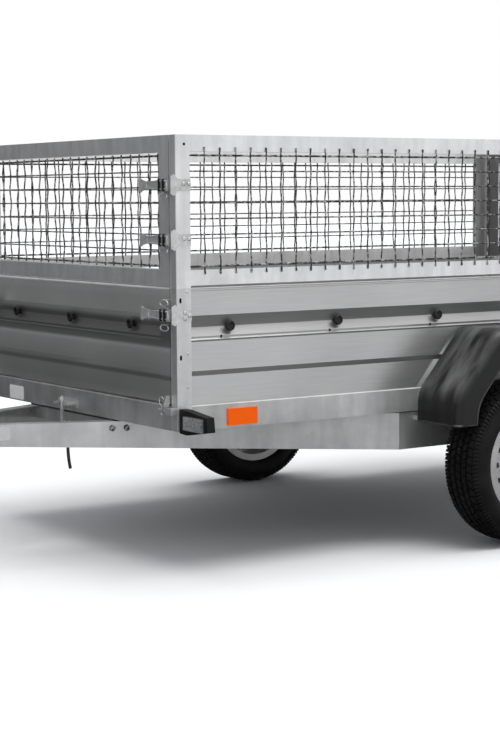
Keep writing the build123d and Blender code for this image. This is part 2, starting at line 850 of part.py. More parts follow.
def tyre(side):
    """Tyre body between its beads; the tread is bare."""
    half = tyre_width / 2
    bead = rim_radius + bead_clearance
    seat = rim_width / 2 - rim_lip - bead_clearance
    groove = rim_flange + 2
    section = [
        (bead, seat), (groove, seat), (groove, half), (tyre_radius - tyre_shoulder, half),
        (tyre_radius, half - tyre_shoulder),
    ]
    with BuildPart() as ring:
        with BuildSketch(wheel_plane(side)):
            with BuildLine():
                Polyline(*[(r, -u) for r, u in section], *reversed(section), close=True)
            make_face()
        revolve(axis=Axis((side * wheel_centre_x, axle_y, tyre_radius), (1, 0, 0)))
    return ring.part


# ---- mudguards --------------------------------------------------------
def arch_solid(side, inset, outer_x, shoulder):
    """Solid arch moved inwards by inset, on long legs, its outer shoulder rounded, or bevelled inside."""
    leg_end = guard_low - guard_side_depth - cutter
    lean = guard_lean / (guard_knee - guard_low)
    foot = guard_half_length + lean * (guard_low - leg_end)
    knee = guard_half_length - guard_lean
    front_half = [(-foot, leg_end), (-knee, guard_knee), (-guard_crest_half, guard_top)]
    points = front_half + [(-y, z) for y, z in reversed(front_half)]
    near = side * (guard_inner_x - (1 if inset else 0))
    far = side * outer_x
    with BuildPart(mode=Mode.PRIVATE) as arch:
        with BuildSketch(Plane.YZ.offset(min(near, far))):
            with BuildLine():
                path = FilletPolyline(*[(axle_y + y, z) for y, z in points], radius=guard_corner)
                Line(path @ 1, path @ 0)
            make_face()
            if inset:
                offset(amount=-inset, kind=Kind.INTERSECTION)
        extrude(amount=abs(far - near))
        if shoulder:
            rim = arch.faces().sort_by(Axis.X)[-1 if side > 0 else 0].edges()
            along = rim.filter_by(lambda edge: (edge @ 0.5).Z > leg_end + inset + 1)
            if inset:
                chamfer(along, shoulder)
            else:
                fillet(along, shoulder)
    return arch.part


def mudguard(side):
    """Moulded arch: top skin rounded over into a deep outer side wall."""
    with BuildPart() as guard:
        add(arch_solid(side, 0, guard_outer_x, guard_shoulder))
        inside = arch_solid(side, guard_skin, guard_outer_x - guard_skin, guard_shoulder / 2)
        add(inside, mode=Mode.SUBTRACT)
        add(arch_solid(side, guard_side_depth, guard_outer_x + cutter, 0), mode=Mode.SUBTRACT)
        split(bisect_by=Plane.XY.offset(guard_low), keep=Keep.TOP)
    return guard.part


def mudguard_stays():
    """Flat bars from the beams that hold the mudguards at both ends."""
    lean = guard_lean * (2 + stay_height) / (guard_knee - guard_low)
    with BuildPart() as stays:
        for side in sides.values():
            for end in ends.values():
                y = axle_y + end * (guard_half_length - guard_skin - lean - rest_gap)
                block(side * beam_x_rear, side * (guard_outer_x - guard_shoulder), y, y - end * stay_depth,
                      guard_low + 2, guard_low + 2 + stay_height)
    return stays.part


# ---- coupling ---------------------------------------------------------
def coupling_head():
    """Pressed ball coupling: domed nose over the socket, body tapering back to a shank on the drawbar."""
    low = socket_top - socket_depth
    seat = ball_radius * 0.7
    with BuildPart() as head:
        with BuildSketch(Plane.XY.offset(low)):
            with Locations((0, ball_y)):
                Circle(nose_radius)
            with Locations((0, drawbar_front_y - 10)):
                Rectangle(2 * coupling_half_width, 20)
            make_hull()
        extrude(amount=coupling_top - low)
        chamfer(head.faces().sort_by(Axis.Z)[-1].edges().sort_by(Axis.Y)[:-1], 9)
        block(-coupling_half_width, coupling_half_width, drawbar_front_y - 20, drawbar_front_y + shank_length,
              beam_top, coupling_top)
        with BuildSketch(Plane(origin=(0, ball_y, socket_top), x_dir=(1, 0, 0), z_dir=(0, -1, 0))):
            with BuildLine():
                Polyline((0, -socket_depth), (ball_radius, -socket_depth), (ball_radius, 0), (seat, seat),
                         (0, ball_radius), close=True)
            make_face()
        revolve(axis=Axis((0, ball_y, socket_top), (0, 0, 1)), mode=Mode.SUBTRACT)
    return head.part


def coupling_handle():
    """Lever over the nose, seated on the coupling's top."""
    seat = coupling_top + rest_gap
    with BuildPart() as handle:
        with BuildSketch(Plane.YZ.offset(-14)):
            with BuildLine():
                Polyline(
                    (ball_y + 20, seat), (ball_y + 60, seat), (ball_y + 50, seat + 40),
                    (ball_y - 20, seat + 64), (ball_y - 24, seat + 54), (ball_y + 22, seat + 30), close=True,
                )
            make_face()
        extrude(amount=28)
    return handle.part


# ---- jockey wheel -----------------------------------------------------
def jockey_clamp():
    """Clamp on the drawbar's side that grips the jockey tube."""
    z0, z1 = beam_low_head + web, beam_top - web
    with BuildPart() as clamp:
        block(head_half_width, jockey_x, jockey_y - 30, jockey_y + 30, z0, z1)
        with BuildSketch(Plane.XY.offset(z0)):
            with Locations((jockey_x, jockey_y)):
                Circle(jockey_tube_radius + 7)
        extrude(amount=z1 - z0)
        with BuildSketch(Plane.XY.offset(z0)):
            with Locations((jockey_x, jockey_y)):
                Circle(jockey_tube_radius + jockey_gap)
        extrude(amount=z1 - z0, mode=Mode.SUBTRACT)
    return clamp.part


def jockey_tube():
    """Outer tube with its head and crank handle."""
    high = jockey_tube_high
    crank = 98
    with BuildPart() as tube:
        with BuildSketch(Plane.XY.offset(jockey_tube_low)):
            with Locations((jockey_x, jockey_y)):
                Circle(jockey_tube_radius)
                Circle(jockey_inner_radius + jockey_gap, mode=Mode.SUBTRACT)
        extrude(amount=high - jockey_tube_low)
        with BuildSketch(Plane.XY.offset(high)):
            with Locations((jockey_x, jockey_y)):
                Circle(jockey_tube_radius + 3)
        extrude(amount=22)
        block(jockey_x - 8, jockey_x + 8, jockey_y, jockey_y + crank + 12, high + 22, high + 32)
        with BuildSketch(Plane.XY.offset(high + 32)):
            with Locations((jockey_x, jockey_y + crank)):
                RegularPolygon(11, 8)
        extrude(amount=70)
    return tube.part


def jockey_leg():
    """Inner tube down to the fork's swivel."""
    low = fork_top + rest_gap
    with BuildPart() as leg:
        with BuildSketch(Plane.XY.offset(low)):
            with Locations((jockey_x, jockey_y)):
                Circle(jockey_inner_radius)
        extrude(amount=jockey_tube_high - 80 - low)
    return leg.part


def jockey_fork():
    """Crown and two cheeks that trail the wheel's axle behind the swivel."""
    half = jockey_wheel_width / 2 + 6
    front, back = jockey_y - 32, jockey_y + 62
    with BuildPart() as fork:
        block(jockey_x - half - fork_plate, jockey_x + half + fork_plate, front, back, fork_top - 6, fork_top)
        for side in sides.values():
            x0 = jockey_x + side * half
            with BuildSketch(Plane.YZ.offset(min(x0, x0 + side * fork_plate))):
                with BuildLine():
                    Polyline(
                        (front, fork_top), (back, fork_top), (jockey_axle_y + 18, jockey_wheel_radius),
                        (jockey_axle_y, jockey_wheel_radius - 18), (jockey_axle_y - 18, jockey_wheel_radius),
                        close=True,
                    )
                make_face()
            extrude(amount=fork_plate)
        with BuildSketch(Plane.YZ.offset(jockey_x - half - fork_plate)):
            with Locations((jockey_axle_y, jockey_wheel_radius)):
                Circle(jockey_axle_radius)
        extrude(amount=2 * (half + fork_plate))
    return fork.part


def jockey_ring(width, outer, inner):
    """Plain ring round the jockey wheel's axle."""
    with BuildPart() as part:
        with BuildSketch(Plane.YZ.offset(jockey_x - width / 2)):
            with Locations((jockey_axle_y, jockey_wheel_radius)):
                Circle(outer)
                Circle(inner, mode=Mode.SUBTRACT)
        extrude(amount=width)
    return part.part


# ---- cable tail -------------------------------------------------------
def bend_radii(route):
    """Largest easy arc at each inner point: 0.45 of the shorter run over the tangent of half the turn."""
    radii = []
    for before, corner, after in zip(route, route[1:], route[2:]):
        arriving, leaving = Vector(*corner) - Vector(*before), Vector(*after) - Vector(*corner)
        half_turn = radians(arriving.get_angle(leaving)) / 2
        radii.append(0.45 * min(arriving.length, leaving.length) / tan(half_turn))
    return radii


def cable_tail():
    """Short cable end that hangs from the left beam's lower flange."""
    y = front_y - tail_ahead
    x = beam_x_front - beam_spread * tail_ahead - tail_inset
    top = beam_low(y) - rest_gap
    route = [(x, y, top), (x, y, top - 32), (x + 1, y + 7, top - 66)]
    radii = bend_radii(route)
    print("cable tail radii", [round(radius) for radius in radii])
    with BuildPart() as tail:
        with BuildLine() as path:
            FilletPolyline(*route, radius=radii)
        with BuildSketch(Plane(origin=route[0], z_dir=path.line % 0)):
            Circle(tail_radius)
        sweep()
    return tail.part


for name, side in sides.items():
    save(side_board(side), f"side_board_{name}")
    save(side_cage(side), f"cage_frame_{name}")
    save(side_mesh(side), f"cage_mesh_{name}")
    save(drawbar_beam(side), f"drawbar_beam_{name}")
    save(wheel_rim(side), f"wheel_rim_{name}")
    save(tyre(side), f"tyre_{name}")
    save(mudguard(side), f"mudguard_{name}")

for name, end in ends.items():
    save(end_board(end), f"drop_board_{name}")
    save(end_hooks(end), f"cover_hooks_{name}")
    save(latches(end, [latch_heights["board"]]), f"board_latches_{name}")
    save(end_cage(end), f"cage_frame_{name}")
    save(end_mesh(end), f"cage_mesh_{name}")
    save(latches(end, [latch_heights["upper"], latch_heights["lower"]]), f"cage_latches_{name}")

save(bed_frame(), "bed_frame")
save(corner_posts(), "corner_posts")
save(floor_panel(), "floor_panel")
save(cross_members(), "floor_bearers")
save(keepers(), "latch_keepers")
save(side_hooks(), "cover_hooks_sides")
save(marker_lamp_arms(), "marker_lamp_arms")
save(marker_lamp_lenses(), "marker_lamp_lenses")
save(side_reflectors(), "side_reflectors")
save(rear_lamp_bar(), "rear_lamp_bar")
save(rear_lamps(), "rear_lamps")
save(rear_reflectors(), "rear_reflectors")
save(lock_bracket(), "lock_bracket")
save(chassis_cross_members(), "chassis_cross_members")
save(swing_bolt(), "swing_bolt")
save(bed_buffers(), "bed_buffers")
save(axle_beam(), "axle_beam")
save(trailing_arms(), "trailing_arms")
save(mudguard_stays(), "mudguard_stays")
save(coupling_head(), "coupling_head")
save(coupling_handle(), "coupling_handle")
save(jockey_clamp(), "jockey_clamp")
save(jockey_tube(), "jockey_tube")
save(jockey_leg(), "jockey_leg")
save(jockey_fork(), "jockey_fork")
save(jockey_ring(jockey_wheel_width, jockey_wheel_radius, jockey_rim_radius + bead_clearance), "jockey_tyre")
save(jockey_ring(jockey_rim_width, jockey_rim_radius, jockey_axle_radius + 0.5), "jockey_rim")
save(cable_tail(), "cable_tail")
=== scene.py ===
import bpy
import bmesh
import json
import math
from mathutils import Matrix, Vector

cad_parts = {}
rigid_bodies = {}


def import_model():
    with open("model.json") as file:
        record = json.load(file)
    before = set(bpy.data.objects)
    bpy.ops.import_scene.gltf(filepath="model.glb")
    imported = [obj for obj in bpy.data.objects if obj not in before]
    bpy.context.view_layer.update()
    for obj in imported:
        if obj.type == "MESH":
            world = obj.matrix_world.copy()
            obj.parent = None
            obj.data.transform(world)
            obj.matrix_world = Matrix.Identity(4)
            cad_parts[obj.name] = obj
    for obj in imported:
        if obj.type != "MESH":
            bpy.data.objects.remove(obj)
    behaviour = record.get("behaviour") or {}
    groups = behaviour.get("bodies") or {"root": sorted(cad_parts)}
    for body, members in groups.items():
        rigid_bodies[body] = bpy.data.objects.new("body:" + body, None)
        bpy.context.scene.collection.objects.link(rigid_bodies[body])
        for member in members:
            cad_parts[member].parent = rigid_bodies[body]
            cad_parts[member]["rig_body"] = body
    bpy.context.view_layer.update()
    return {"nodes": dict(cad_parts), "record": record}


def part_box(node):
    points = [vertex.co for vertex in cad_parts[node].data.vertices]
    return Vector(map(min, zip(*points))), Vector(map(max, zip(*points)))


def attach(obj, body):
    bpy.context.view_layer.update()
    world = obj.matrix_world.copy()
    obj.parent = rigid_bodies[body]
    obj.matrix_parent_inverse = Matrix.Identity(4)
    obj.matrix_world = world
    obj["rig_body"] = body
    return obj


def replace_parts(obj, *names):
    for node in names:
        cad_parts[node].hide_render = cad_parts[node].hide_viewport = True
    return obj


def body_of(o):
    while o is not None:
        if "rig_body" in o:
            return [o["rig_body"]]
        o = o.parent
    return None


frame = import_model()
nodes = frame["nodes"]
scene = bpy.context.scene
sides = {"left": 1, "right": -1}
ends = {"front": -1, "rear": 1}

# places that everything else is measured from, in metres
frameLow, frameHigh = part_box("bed_frame")
frontY, rearY = frameLow.y, frameHigh.y
endY = {-1: frontY, 1: rearY}
halfWidth = frameHigh.x
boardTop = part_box("side_board_left")[1].z

studio = {
    "cameraX": 5.02957, "cameraAhead": 2.66743, "cameraHeight": 1.1045,   # metres
    "turn": 56.44, "pitch": 5.69, "roll": 0.39,                           # degrees
    "focalPixels": 1787.8, "longSide": 750, "sensor": 36.0,
    "centreX": 245.74, "centreY": 375.80, "frameX": 500, "frameY": 750,
    "sunPower": 2.0, "sunSpread": 50, "sunFrom": (0.12, 0.12, 1.2),
    "sky": (0.93, 0.96, 1.0, 1), "ambient": 0.55, "floorTone": 0.97, "bounceTone": 0.36, "floorReach": 60.0,
}
frontFlag = {
    "from": -9.0, "to": 0.9, "ahead": 1.9, "near": 0.05, "height": 3.4, "lift": 0.005,
    "tone": 0.02, "glow": 0.015, "glowHigh": 0.20,
}
farFlag = {"x": -5.5, "from": -3.0, "to": 6.0, "height": 8.0, "lift": 0.005, "tone": 0.04, "glow": 0.03}
sideFlag = {"near": 0.72, "far": 2.3, "past": 1.5, "lift": 0.004, "tone": 0.04, "glow": 0.03}
glowFull = 1.8     # height at which a card glows most
tail = {
    "diameter": 0.010, "length": 0.0667,
    "points": [(0.21988, -0.7055, 0.350225), (0.21988, -0.7055, 0.318225), (0.22088, -0.6985, 0.284225)],
}


def added(name, data):
    made = bpy.data.objects.new(name, data)
    scene.collection.objects.link(made)
    return made


def meshObject(name, points, edges=(), faces=()):
    mesh = bpy.data.meshes.new(name)
    mesh.from_pydata(points, edges, faces)
    return added(name, mesh)


def grey(value, warm=0.0):
    return (value * (1 + warm), value, value * (1 - warm), 1)


def feed(tree, node, inputs):
    # an output is linked, and a number or a colour is set
    for name, value in inputs.items():
        if isinstance(value, bpy.types.NodeSocket):
            tree.links.new(value, node.inputs[name])
        else:
            node.inputs[name].default_value = value


def grow(tree, kind, inputs=None):
    node = tree.nodes.new(kind)
    feed(tree, node, inputs or {})
    return node


def rangeOf(tree, source, low, high, start=0.0, end=1.0):
    return grow(tree, "ShaderNodeMapRange", {
        "Value": source, "From Min": start, "From Max": end, "To Min": low, "To Max": high,
    }).outputs["Result"]


def partOf(tree, output, axis):
    # one number of the place or of the facing, in the piece's own space
    place = grow(tree, "ShaderNodeTexCoord")
    return grow(tree, "ShaderNodeSeparateXYZ", {0: place.outputs[output]}).outputs[axis]


def newFinish(name):
    finish = bpy.data.materials.new(name)
    finish.use_nodes = True
    return finish, finish.node_tree


def finished(finish, values):
    feed(finish.node_tree, finish.node_tree.nodes["Principled BSDF"], values)
    return finish


def makeCamera(s):
    turn, pitch, roll = (math.radians(s[k]) for k in ("turn", "pitch", "roll"))
    level = math.cos(pitch)
    forward = Vector((-math.sin(turn) * level, math.cos(turn) * level, -math.sin(pitch)))
    right = Vector((math.cos(turn), math.sin(turn), 0))
    down = forward.cross(right)
    imageRight = right * math.cos(roll) + down * math.sin(roll)
    imageDown = down * math.cos(roll) - right * math.sin(roll)
    turned = Matrix((imageRight, -imageDown, -forward)).transposed().to_4x4()
    place = Matrix.Translation((s["cameraX"], frontY - s["cameraAhead"], s["cameraHeight"]))
    lens = bpy.data.cameras.new("studioCamera")
    camera = added("studioCamera", lens)
    camera.matrix_world = place @ turned
    lens.sensor_width = s["sensor"]
    lens.lens = s["focalPixels"] * s["sensor"] / s["longSide"]
    lens.shift_x = (s["frameX"] / 2 - s["centreX"]) / s["longSide"]
    lens.shift_y = (s["centreY"] - s["frameY"] / 2) / s["longSide"]
    lens.clip_start, lens.clip_end = 0.1, 400
    scene.camera = camera


def byRay(tree, out, lighting, seen):
    # the first shader lights the trailer, and the second is what the camera and the metal see
    path = grow(tree, "ShaderNodeLightPath").outputs
    either = grow(tree, "ShaderNodeMath", {0: path["Is Camera Ray"], 1: path["Is Glossy Ray"]})
    also = grow(tree, "ShaderNodeMath", {0: either.outputs[0], 1: path["Is Transmission Ray"]})
    either.operation = also.operation = "MAXIMUM"
    mix = grow(tree, "ShaderNodeMixShader", {
        "Fac": also.outputs[0], 1: lighting.outputs[0], 2: seen.outputs[0],
    })
    grow(tree, out, {"Surface": mix.outputs[0]})


def makeWorld(s):
    world = bpy.data.worlds.new("studioWorld")
    scene.world = world
    world.use_nodes = True
    tree = world.node_tree
    tree.nodes.clear()
    soft = grow(tree, "ShaderNodeBackground", {"Color": s["sky"], "Strength": s["ambient"]})
    seen = grow(tree, "ShaderNodeBackground", {"Color": (1, 1, 1, 1), "Strength": 1.0})
    byRay(tree, "ShaderNodeOutputWorld", soft, seen)


def makeFloor(s):
    reach = s["floorReach"]
    corners = [(-reach, -reach, 0), (reach, -reach, 0), (reach, reach, 0), (-reach, reach, 0)]
    floor = meshObject("studioFloor", corners, faces=[(0, 1, 2, 3)])
    finish, tree = newFinish("paleFloor")
    tree.nodes.clear()
    low = grow(tree, "ShaderNodeBsdfDiffuse", {"Color": grey(s["bounceTone"])})
    full = grow(tree, "ShaderNodeBsdfDiffuse", {"Color": grey(s["floorTone"])})
    byRay(tree, "ShaderNodeOutputMaterial", low, full)
    floor.data.materials.append(finish)


def makeLights(s):
    sun = bpy.data.lights.new("keySun", "SUN")
    sun.energy = s["sunPower"]
    sun.angle = math.radians(s["sunSpread"])
    lamp = added("keySun", sun)
    lamp.rotation_mode = "QUATERNION"
    lamp.rotation_quaternion = Vector(s["sunFrom"]).to_track_quat("Z", "Y")


def darkCard(name, corners, f):
    # a dark card that only reflections see
    faces = [tuple(range(i, i + 4)) for i in range(0, len(corners), 4)]
    card = meshObject(name, corners, faces=faces)
    finish, tree = newFinish(name + "Finish")
    height = partOf(tree, "Object", "Z")
    card.data.materials.append(finished(finish, {
        "Base Color": grey(f["tone"]), "Emission Color": (1, 1, 1, 1),
        "Emission Strength": rangeOf(tree, height, f["glow"], f.get("glowHigh", f["glow"]), 0.0, glowFull),
    }))
    card.visible_camera = card.visible_shadow = card.visible_diffuse = False


def makeFlags(f, g, s):
    # the front faces stay dark, and so do the grooves of the sides, which look down at the floor
    a, b, low, top = (f[k] for k in ("from", "to", "lift", "height"))
    y, foot = frontY - f["ahead"], frontY - f["near"]
    darkCard("frontFlag", [(a, y, low), (b, y, low), (b, y, top), (a, y, top),
                           (a, foot, low), (b, foot, low), (b, y, low), (a, y, low)], f)
    x, a, b, low, top = (g[k] for k in ("x", "from", "to", "lift", "height"))
    darkCard("farFlag", [(x, a, low), (x, b, low), (x, b, top), (x, a, top)], g)
    corners, low, past = [], s["lift"], rearY + s["past"]
    for side in sides.values():
        near, far = side * s["near"], side * s["far"]
        corners += [(near, frontY, low), (far, frontY, low), (far, past, low), (near, past, low)]
    darkCard("sideFlag", corners, s)


def makeTail(t):
    # short length of trailer cable that hangs out of the drawbar beam
    curve = bpy.data.curves.new("trailerCable", "CURVE")
    curve.dimensions = "3D"
    line = curve.splines.new("NURBS")
    line.points.add(len(t["points"]) - 1)
    for point, place in zip(line.points, t["points"]):
        point.co = (*place, 1)
        point.radius = t["diameter"] / 2
    line.order_u = 3
    line.use_endpoint_u = True
    curve.resolution_u = 12
    curve.bevel_depth = 1
    curve.bevel_resolution = 3
    curve.use_fill_caps = True
    cable = added("trailerCable", curve)
    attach(cable, "chassis")
    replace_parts(cable, "cable_tail")
    return cable


scene.view_settings.view_transform = "Standard"
makeCamera(studio)
trailerCable = makeTail(tail)
makeWorld(studio)
makeFloor(studio)
makeLights(studio)
makeFlags(frontFlag, farFlag, sideFlag)
print("studio ready")

# Looks. A pair is low and high; relief is a bump's strength and depth; stretch is along X, Y and Z.
# rolled galvanised sheet: long faint streaks and a soft bloom
sheetLook = {
    "dark": 0.49, "light": 0.54, "warm": 0.006, "metal": 0.72, "rough": (0.27, 0.36),
    "streak": 34, "stretch": (6.0, 0.25, 6.0), "bloom": 2.6, "cloud": 0.86, "relief": (0.02, 0.0003),
}
# painted light and shade on the end boards, paler under each crease and darker towards the next one down:
# height, share of the tone
boardPaintedShading = [
    (0.515, 1.05), (0.535, 0.92), (0.574, 1.00), (0.580, 0.55), (0.587, 0.60), (0.594, 1.05), (0.655, 1.36),
    (0.668, 1.70), (0.676, 0.62), (0.700, 0.46), (0.742, 0.48), (0.758, 1.36), (0.815, 1.36), (0.846, 1.7),
]
# painted shade and painted light on faces inside the cage: axis, direction, then how far back and share of
# the tone
insideRightLightAndShade = (0, 1, [(0.0, 1.25), (0.953, 1.25), (0.957, 0.54)])
insideRearPaintedShade = (1, -1, [(0.0, 0.42), (1.0, 0.42)])
insideBoardPaintedLight = (0, 1, [(0.0, 1.35), (1.0, 1.35)])
# dip-galvanised frame: mottled crystals and pale blooms
frameLook = {
    "dark": 0.43, "light": 0.66, "metal": 0.70, "rough": (0.34, 0.50), "relief": (0.08, 0.0006),
    "crystal": 42, "spangle": (0.95, 1.03), "bloom": 7.0, "bloomStretch": (1, 0.6, 1),
    "run": 20.0, "runStretch": (1.4, 1.4, 0.2), "dips": (0.88, 1.04),
}
postLook = {**frameLook, "dark": 0.60, "light": 0.70, "metal": 0.72, "rough": (0.34, 0.46), "crystal": 60}
railLook = {**postLook, "dark": 0.74, "light": 0.84, "crystal": 42}
labelLook = {
    "dark": 0.84, "light": 0.93, "stops": (0.3, 0.7), "metal": 0.0, "rough": 0.35, "coat": 0.0,
    "blotches": 30, "detail": 4.0, "stretch": (1, 1, 1), "relief": None,
}
# dark wire whose pale blotches paint the glints at its crimps
wireGlintLook = {
    **labelLook, "dark": 0.022, "light": 0.46, "stops": (0.46, 0.62), "metal": 0.35, "rough": 0.45,
    "blotches": 95, "detail": 1.0, "relief": (0.2, 0.0003),
}
zincLook = {
    **labelLook, "dark": grey(0.50, 0.01), "light": 0.72, "metal": 0.50, "rough": (0.26, 0.41),
    "blotches": 60, "detail": 5.0,
}
clearLook = {
    **labelLook, "dark": 0.16, "light": 0.42, "rough": 0.12, "coat": 0.5, "blotches": 90, "detail": 2.0,
    "stretch": (1, 1, 6), "relief": (0.3, 0.0008),
}
# black plastic, whose up-facing faces get scuffs and a painted sheen
plasticLook = {
    "tone": 0.008, "sheen": 0.016, "rough": (0.30, 0.52), "grain": 900, "shine": 0.3, "scuffAndSheen": 9,
    "stretch": (1, 1, 0.35), "stops": (0.36, 0.74), "upward": 1.4, "relief": (0.12, 0.0004),
}
# the mudguard's up-facing faces take a strong painted sheen along with their scuffs
guardLook = {
    **plasticLook, "tone": 0.006, "sheen": 0.19, "rough": (0.24, 0.46), "grain": 700, "shine": 0.28,
    "scuffAndSheen": 1.0, "stretch": (26, 7, 5),
}
# a paler grey for the rolled lip, which paints the highlight along the mudguard's edge
lipHighlightLook = {
    **plasticLook, "tone": 0.045, "sheen": 0.09, "rough": (0.25, 0.47), "grain": 700, "shine": 0.5,
    "stretch": (1, 1, 1),
}
rubberLook = {
    "tone": 0.008, "dust": 0.0136, "dusty": 14, "rough": 0.6, "grain": 500, "shine": 0.2,
    "stops": (0.4, 0.8), "relief": (0.15, 0.0005),
}
cableLook = {**rubberLook, "tone": 0.022, "dust": 0.0374, "rough": 0.5, "shine": 0.4}
tyreLook = {**rubberLook, "dust": 0.019, "grain": 320, "shine": 0.16}
silverLook = {
    "tone": 0.56, "metal": 0.75, "rough": (0.45, 0.30), "flake": 1400, "flakes": (0.92, 1.08),
    "soot": 16, "sooty": 0.82, "stops": (0.3, 0.65),
}
# a pale, nearly matt finish that paints the highlight along bent edges and beads
paintedHighlightLook = {**silverLook, "tone": 0.84, "metal": 0.1, "rough": (0.50, 0.35)}
lensLook = {"prism": 260, "deep": 0.86, "rough": 0.22, "glowingShine": 0.12, "relief": (0.2, 0.0005)}
plyLook = {
    "dark": (0.035, 0.018, 0.010, 1), "light": (0.075, 0.040, 0.022, 1), "rough": 0.45, "grid": 260,
    "grain": 5, "stops": (0.35, 0.7), "stretch": (1, 0.2, 1), "relief": (0.3, 0.0008),
}


def patternOn(tree, scale, detail=4.0, stretch=(1, 1, 1), kind="Noise"):
    place = grow(tree, "ShaderNodeTexCoord")
    shift = grow(tree, "ShaderNodeMapping", {"Vector": place.outputs["Object"], "Scale": stretch})
    pattern = grow(tree, "ShaderNodeTex" + kind, {"Vector": shift.outputs["Vector"], "Scale": scale})
    if kind == "Noise":
        pattern.inputs["Detail"].default_value = detail
    return pattern


def ramp(tree, source, stops):
    band = grow(tree, "ShaderNodeValToRGB", {"Fac": source})
    while len(band.color_ramp.elements) < len(stops):
        band.color_ramp.elements.new(0.5)
    for element, (at, tone) in zip(band.color_ramp.elements, stops):
        element.position = at
        element.color = tone if isinstance(tone, tuple) else grey(tone)
    return band.outputs["Color"]


def tint(tree, pattern, low, high, start=0.3, end=0.7, output="Fac"):
    return ramp(tree, pattern.outputs[output], [(start, low), (end, high)])


def blend(tree, a, b, amount=1.0, how="MULTIPLY"):
    mix = tree.nodes.new("ShaderNodeMix")
    mix.data_type = "RGBA"
    mix.blend_type = how
    feed(tree, mix, {6: a, 7: b, 0: amount})
    return mix.outputs[2]


def timesClamped(tree, source, factor):
    product = grow(tree, "ShaderNodeMath", {0: source, 1: factor})
    product.operation = "MULTIPLY"
    product.use_clamp = True
    return product.outputs[0]


def bumpFrom(tree, pattern, relief, output="Fac"):
    inputs = {"Strength": relief[0], "Distance": relief[1], "Height": pattern.outputs[output]}
    return grow(tree, "ShaderNodeBump", inputs).outputs["Normal"]


# painted light and shade, as shares of the tone along the height
def shadeByHeight(tree, shade):
    low, high = shade[0][0], shade[-1][0]
    height = rangeOf(tree, partOf(tree, "Object", "Z"), 0.0, 1.0, low, high)
    return ramp(tree, height, [((z - low) / (high - low), tone) for z, tone in shade])


def insideShade(tree, tone, axis, sign, shares):
    # painted shade and light on what faces into the load space, by how far back it lies
    inward = timesClamped(tree, partOf(tree, "Normal", axis), sign)
    back = rangeOf(tree, partOf(tree, "Object", "Y"), 0.0, 1.0, frontY, rearY)
    return blend(tree, tone, blend(tree, tone, ramp(tree, back, shares)), inward, "MIX")


def sheetFinish(name, look, shade=None, inside=None):
    finish, tree = newFinish(name)
    streaks = patternOn(tree, look["streak"], 6.0, look["stretch"])
    bloom = patternOn(tree, look["bloom"], 3.0)
    tone = tint(tree, streaks, look["dark"], grey(look["light"], look["warm"]))
    tone = blend(tree, tone, tint(tree, bloom, look["cloud"], 1.0))
    if shade:
        tone = blend(tree, tone, shadeByHeight(tree, shade))
    if inside:
        tone = insideShade(tree, tone, *inside)
    return finished(finish, {
        "Base Color": tone, "Metallic": look["metal"], "Normal": bumpFrom(tree, streaks, look["relief"]),
        "Roughness": rangeOf(tree, streaks.outputs["Fac"], *look["rough"]),
    })


def frameFinish(name, look, inside=None):
    finish, tree = newFinish(name)
    crystals = patternOn(tree, look["crystal"], kind="Voronoi")
    bloom = patternOn(tree, look["bloom"], 5.0, look["bloomStretch"])
    runs = patternOn(tree, look["run"], 4.0, look["runStretch"])
    tone = tint(tree, bloom, look["dark"], look["light"], 0.3, 0.72)
    tone = blend(tree, tone, tint(tree, crystals, *look["spangle"], 0.0, 1.0, "Color"))
    tone = blend(tree, tone, tint(tree, runs, *look["dips"], 0.35, 0.7))
    if inside:
        tone = insideShade(tree, tone, *inside)
    return finished(finish, {
        "Base Color": tone, "Metallic": look["metal"], "Normal": bumpFrom(tree, runs, look["relief"]),
        "Roughness": rangeOf(tree, bloom.outputs["Fac"], *look["rough"]),
    })


def blotchFinish(name, look):
    # one tone blotched into another, which on the wire paints glints, with a sheen that is even or wears
    # along
    finish, tree = newFinish(name)
    blotches = patternOn(tree, look["blotches"], look["detail"], look["stretch"])
    rough = look["rough"]
    values = {
        "Base Color": tint(tree, blotches, look["dark"], look["light"], *look["stops"]),
        "Roughness": rangeOf(tree, blotches.outputs["Fac"], *rough) if isinstance(rough, tuple) else rough,
        "Metallic": look["metal"], "Coat Weight": look["coat"],
    }
    if look["relief"]:
        values["Normal"] = bumpFrom(tree, blotches, look["relief"])
    return finished(finish, values)


def plasticFinish(name, look):
    finish, tree = newFinish(name)
    grain = patternOn(tree, look["grain"], 2.0)
    scuffAndSheen = patternOn(tree, look["scuffAndSheen"], 5.0, look["stretch"])
    streaks = tint(tree, scuffAndSheen, look["tone"], look["sheen"], *look["stops"])
    facing = grow(tree, "ShaderNodeNewGeometry")     # scuffs and a painted sheen show on what faces up
    split = grow(tree, "ShaderNodeSeparateXYZ", {0: facing.outputs["Normal"]})
    upward = timesClamped(tree, split.outputs["Z"], look["upward"])
    return finished(finish, {
        "Base Color": blend(tree, grey(look["tone"]), streaks, upward, "MIX"),
        "Roughness": rangeOf(tree, scuffAndSheen.outputs["Fac"], *look["rough"]),
        "Normal": bumpFrom(tree, grain, look["relief"]), "Specular IOR Level": look["shine"],
    })


def rubberFinish(name, look):
    finish, tree = newFinish(name)
    grain = patternOn(tree, look["grain"], 3.0)
    dust = patternOn(tree, look["dusty"])
    return finished(finish, {
        "Base Color": tint(tree, dust, look["tone"], grey(look["dust"], 0.05), *look["stops"]),
        "Roughness": look["rough"], "Specular IOR Level": look["shine"],
        "Normal": bumpFrom(tree, grain, look["relief"]),
    })


def silverFinish(name, look):
    finish, tree = newFinish(name)
    flake = patternOn(tree, look["flake"], 0.0)
    soot = patternOn(tree, look["soot"])
    tone = tint(tree, flake, *(look["tone"] * share for share in look["flakes"]))
    return finished(finish, {
        "Base Color": blend(tree, tone, tint(tree, soot, grey(look["sooty"], 0.02), 1.0, *look["stops"])),
        "Roughness": rangeOf(tree, soot.outputs["Fac"], *look["rough"]), "Metallic": look["metal"],
    })


